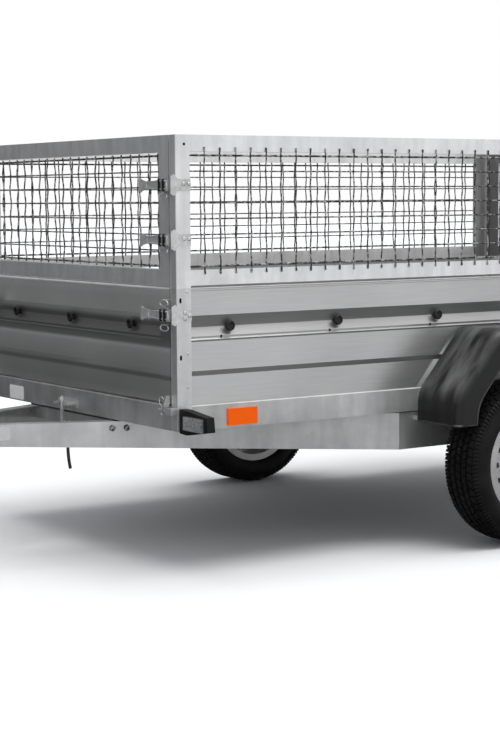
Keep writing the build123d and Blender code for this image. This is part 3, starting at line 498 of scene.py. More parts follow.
def lensFinish(name, colour, glow=0.0, coat=0.5):
    finish, tree = newFinish(name)
    prisms = patternOn(tree, lensLook["prism"], kind="Voronoi")
    deep = tuple(c * lensLook["deep"] for c in colour[:3]) + (1,)
    values = {
        "Base Color": tint(tree, prisms, colour, deep, 0.0, 0.8, "Distance"),
        "Normal": bumpFrom(tree, prisms, lensLook["relief"], "Distance"),
        "Roughness": lensLook["rough"], "Coat Weight": coat,
    }
    # a glow on a lens that is no lamp is painted light
    if glow:
        values["Specular IOR Level"] = lensLook["glowingShine"]
        values["Emission Color"], values["Emission Strength"] = colour, glow
    return finished(finish, values)


def plyFinish(look):
    finish, tree = newFinish("filmPly")
    grid = patternOn(tree, look["grid"], kind="Voronoi")
    grain = patternOn(tree, look["grain"], 5.0, look["stretch"])
    return finished(finish, {
        "Base Color": tint(tree, grain, look["dark"], look["light"], *look["stops"]),
        "Normal": bumpFrom(tree, grid, look["relief"], "Distance"), "Roughness": look["rough"],
    })


finishes = {
    "galvanised_sheet": sheetFinish("galvanisedSheet", sheetLook),
    "galvanised_frame": frameFinish("galvanisedFrame", frameLook),
    "galvanised_wire": blotchFinish("wovenWirePaintedGlints", wireGlintLook),
    "zinc_fittings": blotchFinish("zincPlate", zincLook),
    "black_plastic": plasticFinish("mouldedPlastic", plasticLook),
    "black_rubber": rubberFinish("softRubber", rubberLook),
    "tyre": rubberFinish("tyreRubber", tyreLook),
    "silver_steel": silverFinish("wheelSilver", silverLook),
    # the amber reflector glows a little, a painted glow for the light it sends back
    "amber_reflector": lensFinish("amberLensPaintedGlow", (1.0, 0.125, 0.0, 1), 0.32, 0.0),
    "red_reflector": lensFinish("redLens", (0.55, 0.008, 0.008, 1)),
    "rear_lamp_lens": lensFinish("rearLens", (0.42, 0.006, 0.006, 1)),
    "clear_lens": blotchFinish("clearLens", clearLook),
    "floor_ply": plyFinish(plyLook),
    "white_label": blotchFinish("whiteLabel", labelLook),
}
railFinish = frameFinish("galvanisedRail", railLook)
# the end boards' sheet carries painted light and shade by height
boardShadedFinish = sheetFinish("rolledSheetPaintedShading", sheetLook, boardPaintedShading)
guardFinish = plasticFinish("mudguardPlastic", guardLook)
paintedHighlightFinish = silverFinish("paintedEdgeHighlight", paintedHighlightLook)
lipHighlightFinish = plasticFinish("mudguardLipHighlight", lipHighlightLook)
special = {
    "cage_frame_left": railFinish, "cage_frame_front": railFinish,
    # the far frames and the far board carry painted shade and light on their inner faces
    "cage_frame_right": frameFinish("insideRightLightAndShade", railLook, insideRightLightAndShade),
    "cage_frame_rear": frameFinish("insideRearPaintedShade", railLook, insideRearPaintedShade),
    "side_board_right": sheetFinish("insideBoardPaintedLight", sheetLook, None, insideBoardPaintedLight),
    "drop_board_front": boardShadedFinish, "drop_board_rear": boardShadedFinish,
    "corner_posts": frameFinish("galvanisedPost", postLook),
    "mudguard_left": guardFinish, "mudguard_right": guardFinish,
}
for row in frame["record"]["subparts"]:
    node = nodes[row["node"]]
    node.data.materials.clear()
    node.data.materials.append(special.get(row["node"], finishes[row["material_slot"]]))
trailerCable.data.materials.append(rubberFinish("cableRubber", cableLook))
print("finishes on", len(nodes), "nodes")


def newTree(name, sockets):
    tree = bpy.data.node_groups.new(name, "GeometryNodeTree")
    ids = {}
    for key, kind in {"Geometry": "Geometry", **sockets, "Finish": "Material"}.items():
        socket = tree.interface.new_socket(key, in_out="INPUT", socket_type="NodeSocket" + kind)
        ids[key] = socket.identifier
    tree.interface.new_socket("Geometry", in_out="OUTPUT", socket_type="NodeSocketGeometry")
    return tree, grow(tree, "NodeGroupInput").outputs, ids


def endTree(tree, start, source):
    # every tree ends in plain geometry with its finish on it
    real = grow(tree, "GeometryNodeRealizeInstances", {0: source})
    inputs = {"Geometry": real.outputs[0], "Material": start["Finish"]}
    paint = grow(tree, "GeometryNodeSetMaterial", inputs)
    grow(tree, "NodeGroupOutput", {0: paint.outputs[0]})


def placeItem(tree, start, inputs):
    info = grow(tree, "GeometryNodeObjectInfo", {"Object": start["Item"]})
    place = grow(tree, "GeometryNodeInstanceOnPoints", {"Instance": info.outputs["Geometry"], **inputs})
    endTree(tree, start, place.outputs["Instances"])


def rodTree():
    # round rods along every edge path of the base mesh
    tree, start, ids = newTree("rodsAlongPaths", {"Radius": "Float", "Facets": "Int"})
    path = grow(tree, "GeometryNodeMeshToCurve", {"Mesh": start["Geometry"]})
    inputs = {"Radius": start["Radius"], "Resolution": start["Facets"]}
    ring = grow(tree, "GeometryNodeCurvePrimitiveCircle", inputs)
    rod = grow(tree, "GeometryNodeCurveToMesh", {
        "Curve": path.outputs["Curve"], "Profile Curve": ring.outputs["Curve"], "Fill Caps": True,
    })
    endTree(tree, start, rod.outputs["Mesh"])
    return tree, ids


def repeatTree():
    # one item at every point of the base mesh
    tree, start, ids = newTree("itemAtPoints", {"Item": "Object"})
    placeItem(tree, start, {"Points": start["Geometry"]})
    return tree, ids


def turnTree():
    # one item turned about X into a full circle
    tree, start, ids = newTree("itemRoundAxle", {"Item": "Object", "Count": "Int"})
    points = grow(tree, "GeometryNodePoints", {"Count": start["Count"]})
    index = grow(tree, "GeometryNodeInputIndex")
    share = grow(tree, "ShaderNodeMath", {0: index.outputs[0], 1: start["Count"]})
    angle = grow(tree, "ShaderNodeMath", {0: share.outputs[0], 1: 2 * math.pi})
    share.operation, angle.operation = "DIVIDE", "MULTIPLY"
    spin = grow(tree, "ShaderNodeCombineXYZ", {"X": angle.outputs[0]})
    placeItem(tree, start, {"Points": points.outputs[0], "Rotation": spin.outputs[0]})
    return tree, ids


rodMaker, repeatMaker, turnMaker = rodTree(), repeatTree(), turnTree()


def settled(name, base, maker, values, shift=(0, 0, 0)):
    # runs the tree on the base and keeps the result as a plain mesh
    tree, ids = maker
    modifier = base.modifiers.new("make", "NODES")
    modifier.node_group = tree
    for key, value in values.items():
        modifier[ids[key]] = value
    bpy.context.view_layer.update()
    graph = bpy.context.evaluated_depsgraph_get()
    mesh = bpy.data.meshes.new_from_object(base.evaluated_get(graph))
    mesh.name = name
    mesh.transform(Matrix.Translation(shift))
    made = added(name, mesh)
    bpy.data.objects.remove(base)
    return made


def kept(piece, body, sharp):
    # soft shading up to a sharp angle, then the piece's body
    piece.data.shade_smooth()
    piece.data.set_sharp_from_angle(angle=math.radians(sharp))
    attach(piece, body)
    return piece


# how many facets round details have, and the angles in degrees from which edges stay sharp
facets = {
    "rod": 8, "ring": 6, "lip": 10, "wing": 16, "rim": 72, "hook": 18, "dome": 14, "rivet": 10, "hole": 12,
    "slot": 12, "roller": 12, "valve": 12, "hex": 6,
}
sharpFrom = {"rod": 50, "item": 40, "tyre": 25, "plate": 30}


def rods(name, paths, radius, finish, body, count=facets["rod"], loop=False, look=None):
    # round rods along paths; a look of their own may replace the slot's finish
    points, edges = [], []
    for path in paths:
        first = len(points)
        points += [tuple(p) for p in path]
        edges += [(first + i, first + i + 1) for i in range(len(path) - 1)]
        if loop:
            edges.append((first + len(path) - 1, first))
    base = meshObject(name + "Paths", points, edges)
    values = {"Radius": radius, "Facets": count, "Finish": look or finishes[finish]}
    return kept(settled(name, base, rodMaker, values), body, sharpFrom["rod"])


def repeated(name, item, points, finish, body):
    base = meshObject(name + "Points", points)
    made = settled(name, base, repeatMaker, {"Item": item, "Finish": finishes[finish]})
    return kept(made, body, sharpFrom["item"])


def fromBmesh(name, build):
    mesh = bpy.data.meshes.new(name)
    bm = bmesh.new()
    build(bm)
    bmesh.ops.remove_doubles(bm, verts=bm.verts, dist=1e-6)
    bmesh.ops.recalc_face_normals(bm, faces=bm.faces)
    bm.to_mesh(mesh)
    bm.free()
    return added(name, mesh)


def bridge(bm, near, far):
    # a band of faces between two closed rings of points
    for i in range(len(near)):
        j = (i + 1) % len(near)
        bm.faces.new((near[i], near[j], far[j], far[i]))


def dress(piece, finish, body, sharp):
    piece.data.materials.append(finishes[finish])
    return kept(piece, body, sharp)


mesh = {
    "wire": 0.0024, "edgeWire": 0.0030, "crimp": 0.0021, "steps": 4, "rows": 8,
    "pitchLong": 0.0538, "pitchHigh": 0.0454, "firstUpright": 0.0975, "lap": 0.016, "edge": 0.003,
    "sideMargin": 0.0035, "endMargin": 0.0018, "proud": 0.0002, "fineFacets": 6, "heavyFacets": 8,
}


def crimped(start, along, stations, outward):
    # a wire's centreline through its stations: distance along it, and the side it passes on
    path, steps = [], mesh["steps"]
    for (near, nearSide), (far, farSide) in zip(stations, stations[1:]):
        for i in range(steps):
            ease = (1 - math.cos(math.pi * i / steps)) / 2
            path.append(start + along * (near + (far - near) * i / steps)
                        + outward * (mesh["crimp"] * (nearSide + (farSide - nearSide) * ease)))
    path.append(start + along * stations[-1][0] + outward * (mesh["crimp"] * stations[-1][1]))
    return path


def wovenMesh(name, node, body, origin, along, outward, places, reach, opening, endSide):
    # uprights and rows that pass over and under each other, with heavier outer rows
    low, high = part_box(node)
    span = (low.z + mesh["edge"], high.z - mesh["edge"])
    middle = (opening[0] + opening[1]) / 2
    heights = [middle + (i - (mesh["rows"] - 1) / 2) * mesh["pitchHigh"] for i in range(mesh["rows"])]
    up, along, outward, origin = Vector((0, 0, 1)), Vector(along), Vector(outward), Vector(origin)
    fine, heavy = [], []
    for j, place in enumerate(places):
        stations = [(span[0], endSide)]
        stations += [(z, 1 if (i + j) % 2 else -1) for i, z in enumerate(heights)]
        stations.append((span[1], endSide))
        fine.append(crimped(origin + along * place, up, stations, outward))
    for i, z in enumerate(heights):
        stations = [(reach[0], 0)]
        stations += [(place, -1 if (i + j) % 2 else 1) for j, place in enumerate(places)]
        stations.append((reach[1], 0))
        row = crimped(origin + up * z, along, stations, outward)
        (heavy if i in (0, mesh["rows"] - 1) else fine).append(row)
    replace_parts(rods(name, fine, mesh["wire"], "galvanised_wire", body, mesh["fineFacets"]), node)
    rods(name + "Edges", heavy, mesh["edgeWire"], "galvanised_wire", body, mesh["heavyFacets"])


for name, side in sides.items():
    low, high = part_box(f"cage_mesh_{name}")
    first = frontY + mesh["firstUpright"]
    count = int((high.y - mesh["sideMargin"] - first) / mesh["pitchLong"]) + 1
    places = [first + i * mesh["pitchLong"] for i in range(count)]
    opening = (low.z + mesh["lap"], high.z - mesh["lap"])
    wovenMesh(f"sideWeave_{name}", f"cage_mesh_{name}", "bed", (side * (halfWidth + mesh["proud"]), 0, 0),
              (0, 1, 0), (side, 0, 0), places, (low.y, high.y), opening, 1)
for name, end in ends.items():
    low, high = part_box(f"cage_mesh_{name}")
    count = int((high.x - mesh["endMargin"]) / mesh["pitchLong"])
    places = [i * mesh["pitchLong"] for i in range(-count, count + 1)]
    wovenMesh(f"endWeave_{name}", f"cage_mesh_{name}", f"{name}_cage", (0, (low.y + high.y) / 2, 0),
              (1, 0, 0), (0, end, 0), places, (low.x, high.x), (low.z, high.z), 0)
print("woven mesh made")


tyre = {
    "pitches": 64, "blockHeight": 0.0075, "segments": 96, "bead": 0.1655,
    # blocks of one pitch: place across, width, place round, slant
    "rows": [(-0.052, 0.02, 0.5, 0.3), (-0.0265, 0.019, 0.0, -0.5), (0.0, 0.018, 0.5, 0.45),
             (0.0265, 0.019, 0.0, -0.5), (0.052, 0.02, 0.5, 0.3)],
    "gap": 0.2, "sunk": 0.0015, "taper": 0.0012, "slant": 0.3,
    "shoulderFrom": 0.055, "shoulderDrop": 0.0035,
    # lugs that run down onto the sidewall: places round, share of a pitch, then depth and place across
    "lugAt": (0.05, 0.55), "lugShare": 0.34,
    "lug": [(0.004, 0.0655), (0.0095, 0.0700), (0.022, 0.0722), (0.022, 0.066), (0.013, 0.058)],
}


def tyreCarcass(name, centre, radius, half):
    drop, bead = tyre["blockHeight"], tyre["bead"]
    outline = [
        (bead, half - 0.0168), (bead + 0.018, half - 0.0165), (bead + 0.0192, half - 0.010),
        (bead + 0.026, half - 0.0042), (bead + 0.036, half - 0.0008), (bead + 0.048, half),
        (radius - 0.038, half - 0.0012), (radius - 0.034, half - 0.0028), (radius - 0.022, half - 0.0058),
        (radius - 0.0125, half - 0.012), (radius - drop, half - 0.022), (radius - drop, 0),
    ]
    section = outline + [(r, -w) for r, w in reversed(outline[:-1])]

    def build(bm):
        rings = []
        for i in range(tyre["segments"]):
            a = 2 * math.pi * i / tyre["segments"]
            c, s = math.cos(a), math.sin(a)
            rings.append([bm.verts.new((centre[0] + w, centre[1] - r * s, centre[2] + r * c))
                          for r, w in section])
        for i, ring in enumerate(rings):
            bridge(bm, ring, rings[(i + 1) % len(rings)])
    return fromBmesh(name, build)


def treadBlocks(name, radius, half):
    # one pitch of the tread, standing on top of the wheel
    arc = 2 * math.pi / tyre["pitches"]
    base, top = radius - tyre["blockHeight"] - tyre["sunk"], radius

    def block(bm, x, width, offset, skew):
        start, stop = arc * (offset + tyre["gap"] / 2), arc * (offset + 1 - tyre["gap"] / 2)
        inner, outer = x - width / 2, x + width / 2
        corners = []
        for r, shrink in ((base, 0), (top, tyre["taper"])):
            for w, lean in ((inner + shrink, -skew), (outer - shrink, skew)):
                reach = r - (tyre["shoulderDrop"] if abs(w) > tyre["shoulderFrom"] else 0)
                for a in (start, stop):
                    turn = a + arc * lean * tyre["slant"]
                    corners.append(bm.verts.new((w, -reach * math.sin(turn), reach * math.cos(turn))))
        low, high = ([corners[i] for i in order] for order in ((0, 1, 3, 2), (4, 5, 7, 6)))
        bm.faces.new(high)
        bm.faces.new(low[::-1])
        bridge(bm, low, high)

    def shoulderLug(bm, side, offset):
        turns = (arc * offset, arc * (offset + tyre["lugShare"]))
        ring = []
        for depth, w in tyre["lug"]:
            r = radius - depth
            ring.append([bm.verts.new((side * w, -r * math.sin(a), r * math.cos(a))) for a in turns])
        for i in range(len(ring)):
            j = (i + 1) % len(ring)
            bm.faces.new((ring[i][0], ring[i][1], ring[j][1], ring[j][0]))
        bm.faces.new([r[0] for r in ring])
        bm.faces.new([r[1] for r in reversed(ring)])

    def build(bm):
        for row in tyre["rows"]:
            block(bm, *row)
        for side in (1, -1):
            for offset in tyre["lugAt"]:
                shoulderLug(bm, side, offset)
    return fromBmesh(name, build)


for name, side in sides.items():
    low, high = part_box(f"tyre_{name}")
    centre = (low + high) / 2
    radius, half = (high.z - low.z) / 2, (high.x - low.x) / 2
    carcass = tyreCarcass(f"tyreBody_{name}", centre, radius, half)
    dress(carcass, "tyre", f"wheel_{name}", sharpFrom["tyre"])
    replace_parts(carcass, f"tyre_{name}")
    blocks = treadBlocks(f"treadPitch_{name}", radius, half)
    base = meshObject(f"treadBase_{name}", [(0, 0, 0)])
    values = {"Item": blocks, "Count": tyre["pitches"], "Finish": finishes["tyre"]}
    tread = settled(f"tread_{name}", base, turnMaker, values, centre)
    bpy.data.objects.remove(blocks)
    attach(tread, f"wheel_{name}")
print("tyres made")


def turned(name, outline, axis, segments):
    # an item turned about an axis, from pairs of radius and distance out in millimetres
    out = Vector(axis)
    up = Vector((0, 0, 1)) if abs(out.z) < 0.5 else Vector((1, 0, 0))
    across = out.cross(up)

    def build(bm):
        rings = []
        for radius, far in outline:
            count = segments if radius else 1
            rings.append([bm.verts.new(out * (far / 1000) + (up * math.cos(2 * math.pi * i / count)
                                       + across * math.sin(2 * math.pi * i / count)) * (radius / 1000))
                          for i in range(count)])
        for near, far in zip(rings, rings[1:]):
            for i in range(segments):
                j = (i + 1) % segments
                corners = [near[i % len(near)], near[j % len(near)], far[j % len(far)], far[i % len(far)]]
                bm.faces.new([c for k, c in enumerate(corners) if c not in corners[:k]])
    return fromBmesh(name, build)


def scattered(name, outline, axis, points, finish, body, segments):
    # the same turned item at every point, as one piece
    item = turned(name + "Item", outline, axis, segments)
    made = repeated(name, item, points, finish, body)
    bpy.data.objects.remove(item)
    return made


def ringPath(centre, radius, across, up, count=18, squash=1.0):
    across, up = Vector(across), Vector(up)
    return [Vector(centre) + across * (radius * math.cos(2 * math.pi * i / count))
            + up * (radius * squash * math.sin(2 * math.pi * i / count)) for i in range(count)]


def plateOn(name, corners, thick, finish, body):
    # a thin plate between four corners, given round its face
    a, b, c, d = (Vector(p) for p in corners)
    out = (b - a).cross(d - a).normalized()

    def build(bm):
        low = [bm.verts.new(p) for p in (a, b, c, d)]
        high = [bm.verts.new(p + out * thick) for p in (a, b, c, d)]
        bm.faces.new(low)
        bm.faces.new(high)
        bridge(bm, low, high)
        short = [e for e in bm.edges if e.calc_length() < thick * 1.5]
        offset = min((b - a).length, (d - a).length) * plates["corner"]
        bmesh.ops.bevel(bm, geom=short, offset=offset, segments=plates["cornerSteps"], affect="EDGES")
    return dress(fromBmesh(name, build), finish, body, sharpFrom["plate"])


farOut = 3.0     # outside the trailer, in metres


def faceAt(node, y, z, side):
    # where a level line from outside meets a CAD node
    hit, place, _, _ = nodes[node].ray_cast(Vector((side * farOut, y, z)), Vector((-side, 0, 0)))
    return place.x if hit else side * halfWidth


# shapes in millimetres, then places on the posts in metres
boltHead = {
    "dome": [(0, -1), (6.4, -1), (6.4, 1.2), (5.5, 3), (3.4, 4.2), (0, 4.6)],
    "rivet": [(0, -1), (4, -1), (4, 0.6), (3.1, 1.8), (1.5, 2.4), (0, 2.6)],
    "hex": [(0, -1), (10.5, -1), (10.5, 1.6), (8.8, 1.8), (8.8, 7), (7.4, 8.2), (0, 8.4)],
    "hole": [(0, -1), (4.2, -1), (4.2, 0.2), (0, 0.2)],
    "slot": [(0, -1), (3.6, -1), (3.6, 0.2), (0, 0.2)],
    "keeper": [(0.026, 1.145), (0.043, 1.145), (0.026, 0.988), (0.043, 0.988),
               (0.026, 0.775), (0.042, 0.768), (0.026, 0.759)],
    "rivets": [(0.035, 0.836), (0.037, 0.657), (0.035, 0.560)],
    "holes": [(0.030, 1.258)],
    "slots": [(0.013, 0.811), (0.013, 0.646)],
    "slotLength": 0.008, "keeperPlate": 0.003,
}


def onPosts(spots, x):
    # the same spots on the front and the rear post of one side
    return [(x, endY[end] - end * into, z) for end in ends.values() for into, z in spots]


steps = [boltHead["slotLength"] * k / 4 for k in range(-2, 3)]
slots = [(into, z + lift) for into, z in boltHead["slots"] for lift in steps]
# piece, shape, spots, how far out of the post's face, finish
fasteners = [
    ("keeperBolts", "dome", boltHead["keeper"], boltHead["keeperPlate"], "zinc_fittings"),
    ("postRivets", "rivet", boltHead["rivets"], 0.0, "zinc_fittings"),
    # holes and slots are black discs that paint the shade inside them
    ("postHoles", "hole", boltHead["holes"], 0.0, "black_rubber"),
    ("postSlots", "slot", slots, 0.0, "black_rubber"),
]
for name, side in sides.items():
    for piece, shape, spots, out, finish in fasteners:
        points = onPosts(spots, side * (halfWidth + out))
        scattered(f"{piece}_{name}", boltHead[shape], (side, 0, 0), points, finish, "bed", facets[shape])
# bent edges of the posts and rolled beads along the boards' tops, whose pale finish paints their highlight
edge = {
    "radius": 0.0016, "sink": 0.0013, "inner": 0.0333,
    "bead": 0.0024, "beadSink": 0.0014, "endBead": 0.0034, "endShort": 0.001,
}
low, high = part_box("corner_posts")
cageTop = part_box("cage_frame_left")[1].z
beadZ = boardTop - edge["beadSink"]
for name, end in ends.items():
    y = endY[end] - end * edge["sink"]
    lines = []
    for side in sides.values():
        for x in (halfWidth - edge["sink"], halfWidth - edge["inner"] + edge["sink"]):
            lines.append([(side * x, y, low.z), (side * x, y, cageTop)])
    rods(f"postCorners_{name}", lines, edge["radius"], "galvanised_frame", "bed", look=paintedHighlightFinish)
    y = endY[end] - end * edge["beadSink"]
    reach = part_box(f"drop_board_{name}")[1].x - edge["endShort"]
    rods(f"boardBead_{name}", [[(-reach, y, beadZ), (reach, y, beadZ)]], edge["endBead"], "zinc_fittings",
         f"{name}_board", look=paintedHighlightFinish)
low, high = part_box("side_board_left")
beads = [[(side * (halfWidth - edge["beadSink"]), y, beadZ) for y in (low.y, high.y)]
         for side in sides.values()]
rods("sideBeads", beads, edge["bead"], "zinc_fittings", "bed", look=paintedHighlightFinish)
print("bolts and rivets made")

hook = {
    "outline": [(0, -16), (8.5, -16), (8, -6), (12.5, -5.5), (15.6, -3), (16, -0.5), (14.8, 2.2), (11.8, 4),
                (9.6, 3.4), (8.6, 1.2), (5, 0.4), (0, 0.4)],
    "proud": 0.0042, "screwDrop": 0.029, "screwAhead": 0.031, "spread": 0.06,
}


def hookPlaces(node, axis, side=0):
    # centres of a row of hooks, read from the solids they stand for
    seen = sorted(v.co[axis] for v in nodes[node].data.vertices if v.co.x * side >= 0)
    rows = [[seen[0]]]
    for near, far in zip(seen, seen[1:]):
        if far - near > hook["spread"]:
            rows.append([])
        rows[-1].append(far)
    return [(row[0] + row[-1]) / 2 for row in rows]


hookLow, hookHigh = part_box("cover_hooks_sides")
hookHeight = (hookLow.z + hookHigh.z) / 2
for name, side in sides.items():
    mine = hookPlaces("cover_hooks_sides", 1, side)
    points = [(side * (hookHigh.x - hook["proud"]), y, hookHeight) for y in mine]
    hooks = scattered(f"sideHooks_{name}", hook["outline"], (side, 0, 0), points, "black_plastic",
                      "bed", facets["hook"])
    if side > 0:
        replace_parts(hooks, "cover_hooks_sides")
    z = hookHeight - hook["screwDrop"]
    places = [y - hook["screwAhead"] for y in mine]
    screws = [(faceAt(f"side_board_{name}", y, z, side), y, z) for y in places]
    scattered(f"boardScrews_{name}", boltHead["rivet"], (side, 0, 0), screws, "black_rubber", "bed",
              facets["rivet"])
for name, end in ends.items():
    low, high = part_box(f"cover_hooks_{name}")
    y = (low.y if end < 0 else high.y) - end * hook["proud"]
    points = [(x, y, hookHeight) for x in hookPlaces(f"cover_hooks_{name}", 0)]
    hooks = scattered(f"endHooks_{name}", hook["outline"], (0, end, 0), points, "black_plastic",
                      f"{name}_board", facets["hook"])
    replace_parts(hooks, f"cover_hooks_{name}")
print("cover hooks made")

latch = {
    "ringX": 0.609, "ringRadius": 0.022, "ringFlat": 0.42, "ringWire": 0.0021, "ringSunk": 0.006,
    "ringSteps": 20,
    "bailWire": 0.0022, "bailHalf": 0.011, "bailNarrow": 0.7, "bailFrom": 0.530, "bailWaist": 0.585,
    "bailTo": 0.641, "bailProud": 0.0008, "pinHalf": 1.25, "pinSunk": 0.004, "staple": (0.021, 0.001),
    "cage": (1.142, 0.985), "board": 0.769, "ringBelow": 0.031, "boardRings": (0.034, -0.037),
    "roller": [(0, -18), (7, -18), (10, -15), (10, 15), (7, 18), (0, 18)],
    "rollerX": (0.600, 0.622), "rollerSunk": 0.0058,
}
hinge = {
    "pinX": 0.589, "out": 0.016, "height": 0.491,
    "ring": 0.0125, "leg": 0.014, "lap": 0.002, "wire": 0.0013,
}


def latchTrim(name, end, heights, ringsAt, body, node):
    low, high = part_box(node)
    face = low.y if end < 0 else high.y
    rings, bails, pins = [], [], []
    wide, drop = latch["bailHalf"], latch["ringRadius"] * latch["ringFlat"]
    for side in sides.values():
        start, waist, stop, ringX = (side * latch[k] for k in ("bailFrom", "bailWaist", "bailTo", "ringX"))
        for z in heights:
            y = face + end * latch["bailProud"]
            narrow, tall = wide * latch["bailNarrow"], wide * latch["pinHalf"]
            bails.append([(start, y, z + narrow), (waist, y, z + wide), (stop, y, z + wide),
                          (stop, y, z - wide), (waist, y, z - wide), (start, y, z - narrow)])
            pinY = y - end * latch["pinSunk"]
            pins.append([(start, pinY, z - tall), (start, pinY, z + tall)])
        for z in ringsAt:
            rings.append(ringPath((ringX, face - end * latch["ringSunk"], z), latch["ringRadius"],
                                  (1, 0, 0), (0, 0, 1), latch["ringSteps"], latch["ringFlat"]))
            pins.append([(ringX, face - end * deep, z + drop) for deep in latch["staple"]])
    rollers = [(side * x, face - end * latch["rollerSunk"], z) for side in sides.values() for z in heights
               for x in latch["rollerX"]]
    scattered(f"{name}Rollers", latch["roller"], (0, 0, 1), rollers, "black_plastic", body,
              facets["roller"])
    rods(f"{name}Rings", rings, latch["ringWire"], "zinc_fittings", body, facets["ring"], loop=True)
    rods(f"{name}Bails", bails, latch["bailWire"], "zinc_fittings", body, loop=True)
    rods(f"{name}Pins", pins, latch["bailWire"], "zinc_fittings", body)


for name, end in ends.items():
    latchTrim(f"cageLatch_{name}", end, latch["cage"], [z - latch["ringBelow"] for z in latch["cage"]],
              f"{name}_cage", f"cage_latches_{name}")
    latchTrim(f"boardLatch_{name}", end, (latch["board"],),
              [latch["board"] + d for d in latch["boardRings"]], f"{name}_board", f"board_latches_{name}")
    rings, legs = [], []
    for side in sides.values():
        y = endY[end] + end * hinge["out"]
        x, z = side * hinge["pinX"], hinge["height"]
        middle = (x, y, z + hinge["ring"] + hinge["leg"])
        rings.append(ringPath(middle, hinge["ring"], (1, 0, 0), (0, 0, 1)))
        legs.append([(x, y, z - hinge["leg"]), (x, y, z + hinge["leg"] + hinge["lap"])])
    rods(f"linchRings_{name}", rings, hinge["wire"], "zinc_fittings", f"{name}_board", facets["ring"],
         loop=True)
    rods(f"linchLegs_{name}", legs, hinge["wire"] * 2, "zinc_fittings", f"{name}_board")
print("latch trim made")

plates = {
    "whiteX": (-0.438, -0.334), "whiteZ": (0.436, 0.481), "thick": 0.0008,
    "stickerY": (-0.365, -0.295), "stickerZ": (0.378, 0.419), "boltY": (-0.010, 0.031), "boltZ": 0.406,
    "proud": 0.0001, "corner": 0.08, "cornerSteps": 3,
}
xs, zs = plates["whiteX"], plates["whiteZ"]
y = frontY - plates["proud"]
plateOn("ratingPlate", [(xs[0], y, zs[0]), (xs[1], y, zs[0]), (xs[1], y, zs[1]), (xs[0], y, zs[1])],
        plates["thick"], "white_label", "bed")
ys, zs = plates["stickerY"], plates["stickerZ"]
corners = [(faceAt("drawbar_beam_left", frontY + y, z, 1), frontY + y, z)
           for y, z in ((ys[0], zs[0]), (ys[1], zs[0]), (ys[1], zs[1]), (ys[0], zs[1]))]
plateOn("beamLabel", corners, plates["thick"] / 2, "white_label", "chassis")
z = plates["boltZ"]
bolts = [(faceAt("drawbar_beam_left", frontY + y, z, 1), frontY + y) for y in plates["boltY"]]
# the bolts on the beam take the dark wire finish, which paints the shade round their heads
for name, side in sides.items():
    points = [(x * side, y, z) for x, y in bolts]
    scattered(f"beamBolts_{name}", boltHead["hex"], (side, 0, 0), points, "galvanised_wire", "chassis",
              facets["hex"])
print("plates made")

guard = {
    "gap": 0.078, "lip": 0.0042, "skin": 0.0035, "inset": 0.004, "foot": 0.002, "footInset": 0.003,
    "bend": 0.045, "shoulderY": 0.143, "shoulderZ": 0.495, "legLean": 0.005,
}


def insetLine(points, gap):
    # an open line moved to its right by the gap, with its corners kept
    moved = []
    for (ax, ay), (bx, by) in zip(points, points[1:]):
        length = math.hypot(bx - ax, by - ay)
        nx, ny = (by - ay) / length * gap, -(bx - ax) / length * gap
        moved.append(((ax + nx, ay + ny), (bx + nx, by + ny)))
    line = [moved[0][0]]
    for (a, b), (c, d) in zip(moved, moved[1:]):
        ux, uy, vx, vy = b[0] - a[0], b[1] - a[1], d[0] - c[0], d[1] - c[1]
        t = ((c[0] - a[0]) * vy - (c[1] - a[1]) * vx) / (ux * vy - uy * vx)
        line.append((a[0] + ux * t, a[1] + uy * t))
    line.append(moved[-1][1])
    return line


def rounded(points, radius, steps=5):
    # a line whose corners are softened
    line = [points[0]]
    for a, b, c in zip(points, points[1:], points[2:]):
        a, b, c = Vector(a), Vector(b), Vector(c)
        near = b + (a - b).normalized() * radius
        far = b + (c - b).normalized() * radius
        for k in range(steps + 1):
            t = k / steps
            line.append(tuple(near * (1 - t) ** 2 + b * (2 * t * (1 - t)) + far * t ** 2))
    line.append(points[-1])
    return line


for name, side in sides.items():
    low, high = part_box(f"mudguard_{name}")
    middle, half = (low.y + high.y) / 2, (high.y - low.y) / 2
    lean, knee, foot = half - guard["legLean"], guard["shoulderZ"], low.z + guard["foot"]
    top = guard["shoulderY"]
    arch = [(-half, low.z), (-lean, knee), (-top, high.z), (top, high.z), (lean, knee), (half, low.z)]
    inner = insetLine(arch, guard["gap"])
    inner[0], inner[-1] = (inner[0][0], foot), (inner[-1][0], foot)
    outX = (high.x if side > 0 else low.x) - side * guard["skin"]
    inX = (low.x if side > 0 else high.x) + side * guard["inset"]
    near, far = middle - half + guard["footInset"], middle + half - guard["footInset"]
    lip = [(inX, near, foot), (outX, near, foot)]
    lip += [(outX, middle + y, z) for y, z in rounded(inner, guard["bend"])]
    lip += [(outX, far, foot), (inX, far, foot)]
    rods(f"guardLip_{name}", [lip], guard["lip"], "black_plastic", "chassis", facets["lip"],
         look=lipHighlightFinish)
print("mudguard lips made")

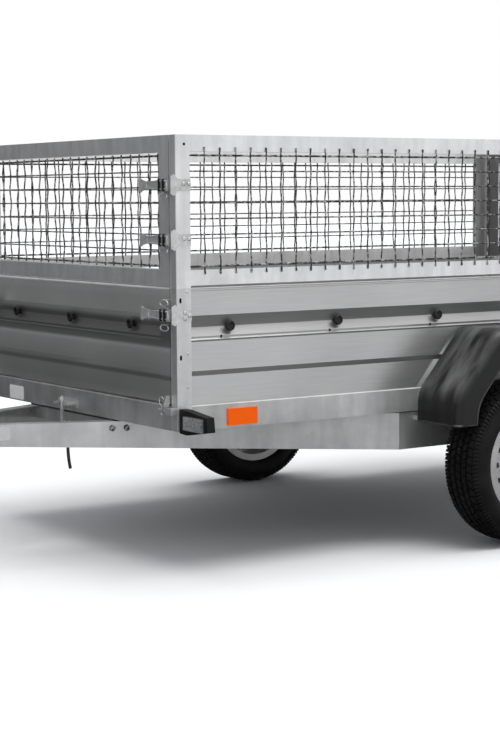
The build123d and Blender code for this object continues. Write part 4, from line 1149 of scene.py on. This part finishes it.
wheel = {
    "lip": 0.0032, "nuts": 4, "nutRing": 0.050, "nutFrom": 0.030, "valveRing": 0.118, "valveFrom": 0.0465,
    "lips": [(0.0032, 0.1795), (0.0165, 0.1555)],      # depth behind the rim's face, radius
    "nut": [(0, -2), (11.8, -2), (11.8, 3), (10, 3.5), (10, 15), (8, 17.5), (5, 17.8), (4.6, 21.5),
            (0, 21.8)],
    "valve": [(0, 0), (4.5, 0), (4, 16), (2.6, 18), (2.6, 26), (0, 26.5)],
}
for name, side in sides.items():
    low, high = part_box(f"wheel_rim_{name}")
    centre = (low + high) / 2
    rim = high.x if side > 0 else low.x
    lips = [ringPath((rim - side * depth, centre.y, centre.z), radius, (0, 1, 0), (0, 0, 1), facets["rim"])
            for depth, radius in wheel["lips"]]
    rods(f"rimLips_{name}", lips, wheel["lip"], "silver_steel", f"wheel_{name}", facets["lip"],
         loop=True)
    points = []
    for k in range(wheel["nuts"]):
        a = 2 * math.pi * (k + 0.5) / wheel["nuts"]
        points.append((centre.x + side * wheel["nutFrom"], centre.y + wheel["nutRing"] * math.cos(a),
                       centre.z + wheel["nutRing"] * math.sin(a)))
    scattered(f"wheelNuts_{name}", wheel["nut"], (side, 0, 0), points, "zinc_fittings", f"wheel_{name}",
              facets["hex"])
    points = [(centre.x + side * wheel["valveFrom"], centre.y + wheel["valveRing"], centre.z)]
    scattered(f"tyreValve_{name}", wheel["valve"], (side, 0, 0), points, "black_rubber",
              f"wheel_{name}", facets["valve"])
print("wheel details made")

lock = {
    "x": 0.0145, "z": 0.393, "ahead": 0.004,
    "radius": 0.0125, "squash": 0.62, "wire": 0.0022, "flare": 0.35,
}
low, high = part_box("swing_bolt")
y = (low.y + high.y) / 2 - lock["ahead"]
wings = [ringPath((side * lock["x"], y, lock["z"]), lock["radius"], (1, 0, lock["flare"] * side),
                  (0, 0, 1), facets["wing"], lock["squash"]) for side in sides.values()]
rods("lockWings", wings, lock["wire"], "zinc_fittings", body_of(nodes["swing_bolt"])[0], loop=True)
print("lock made")
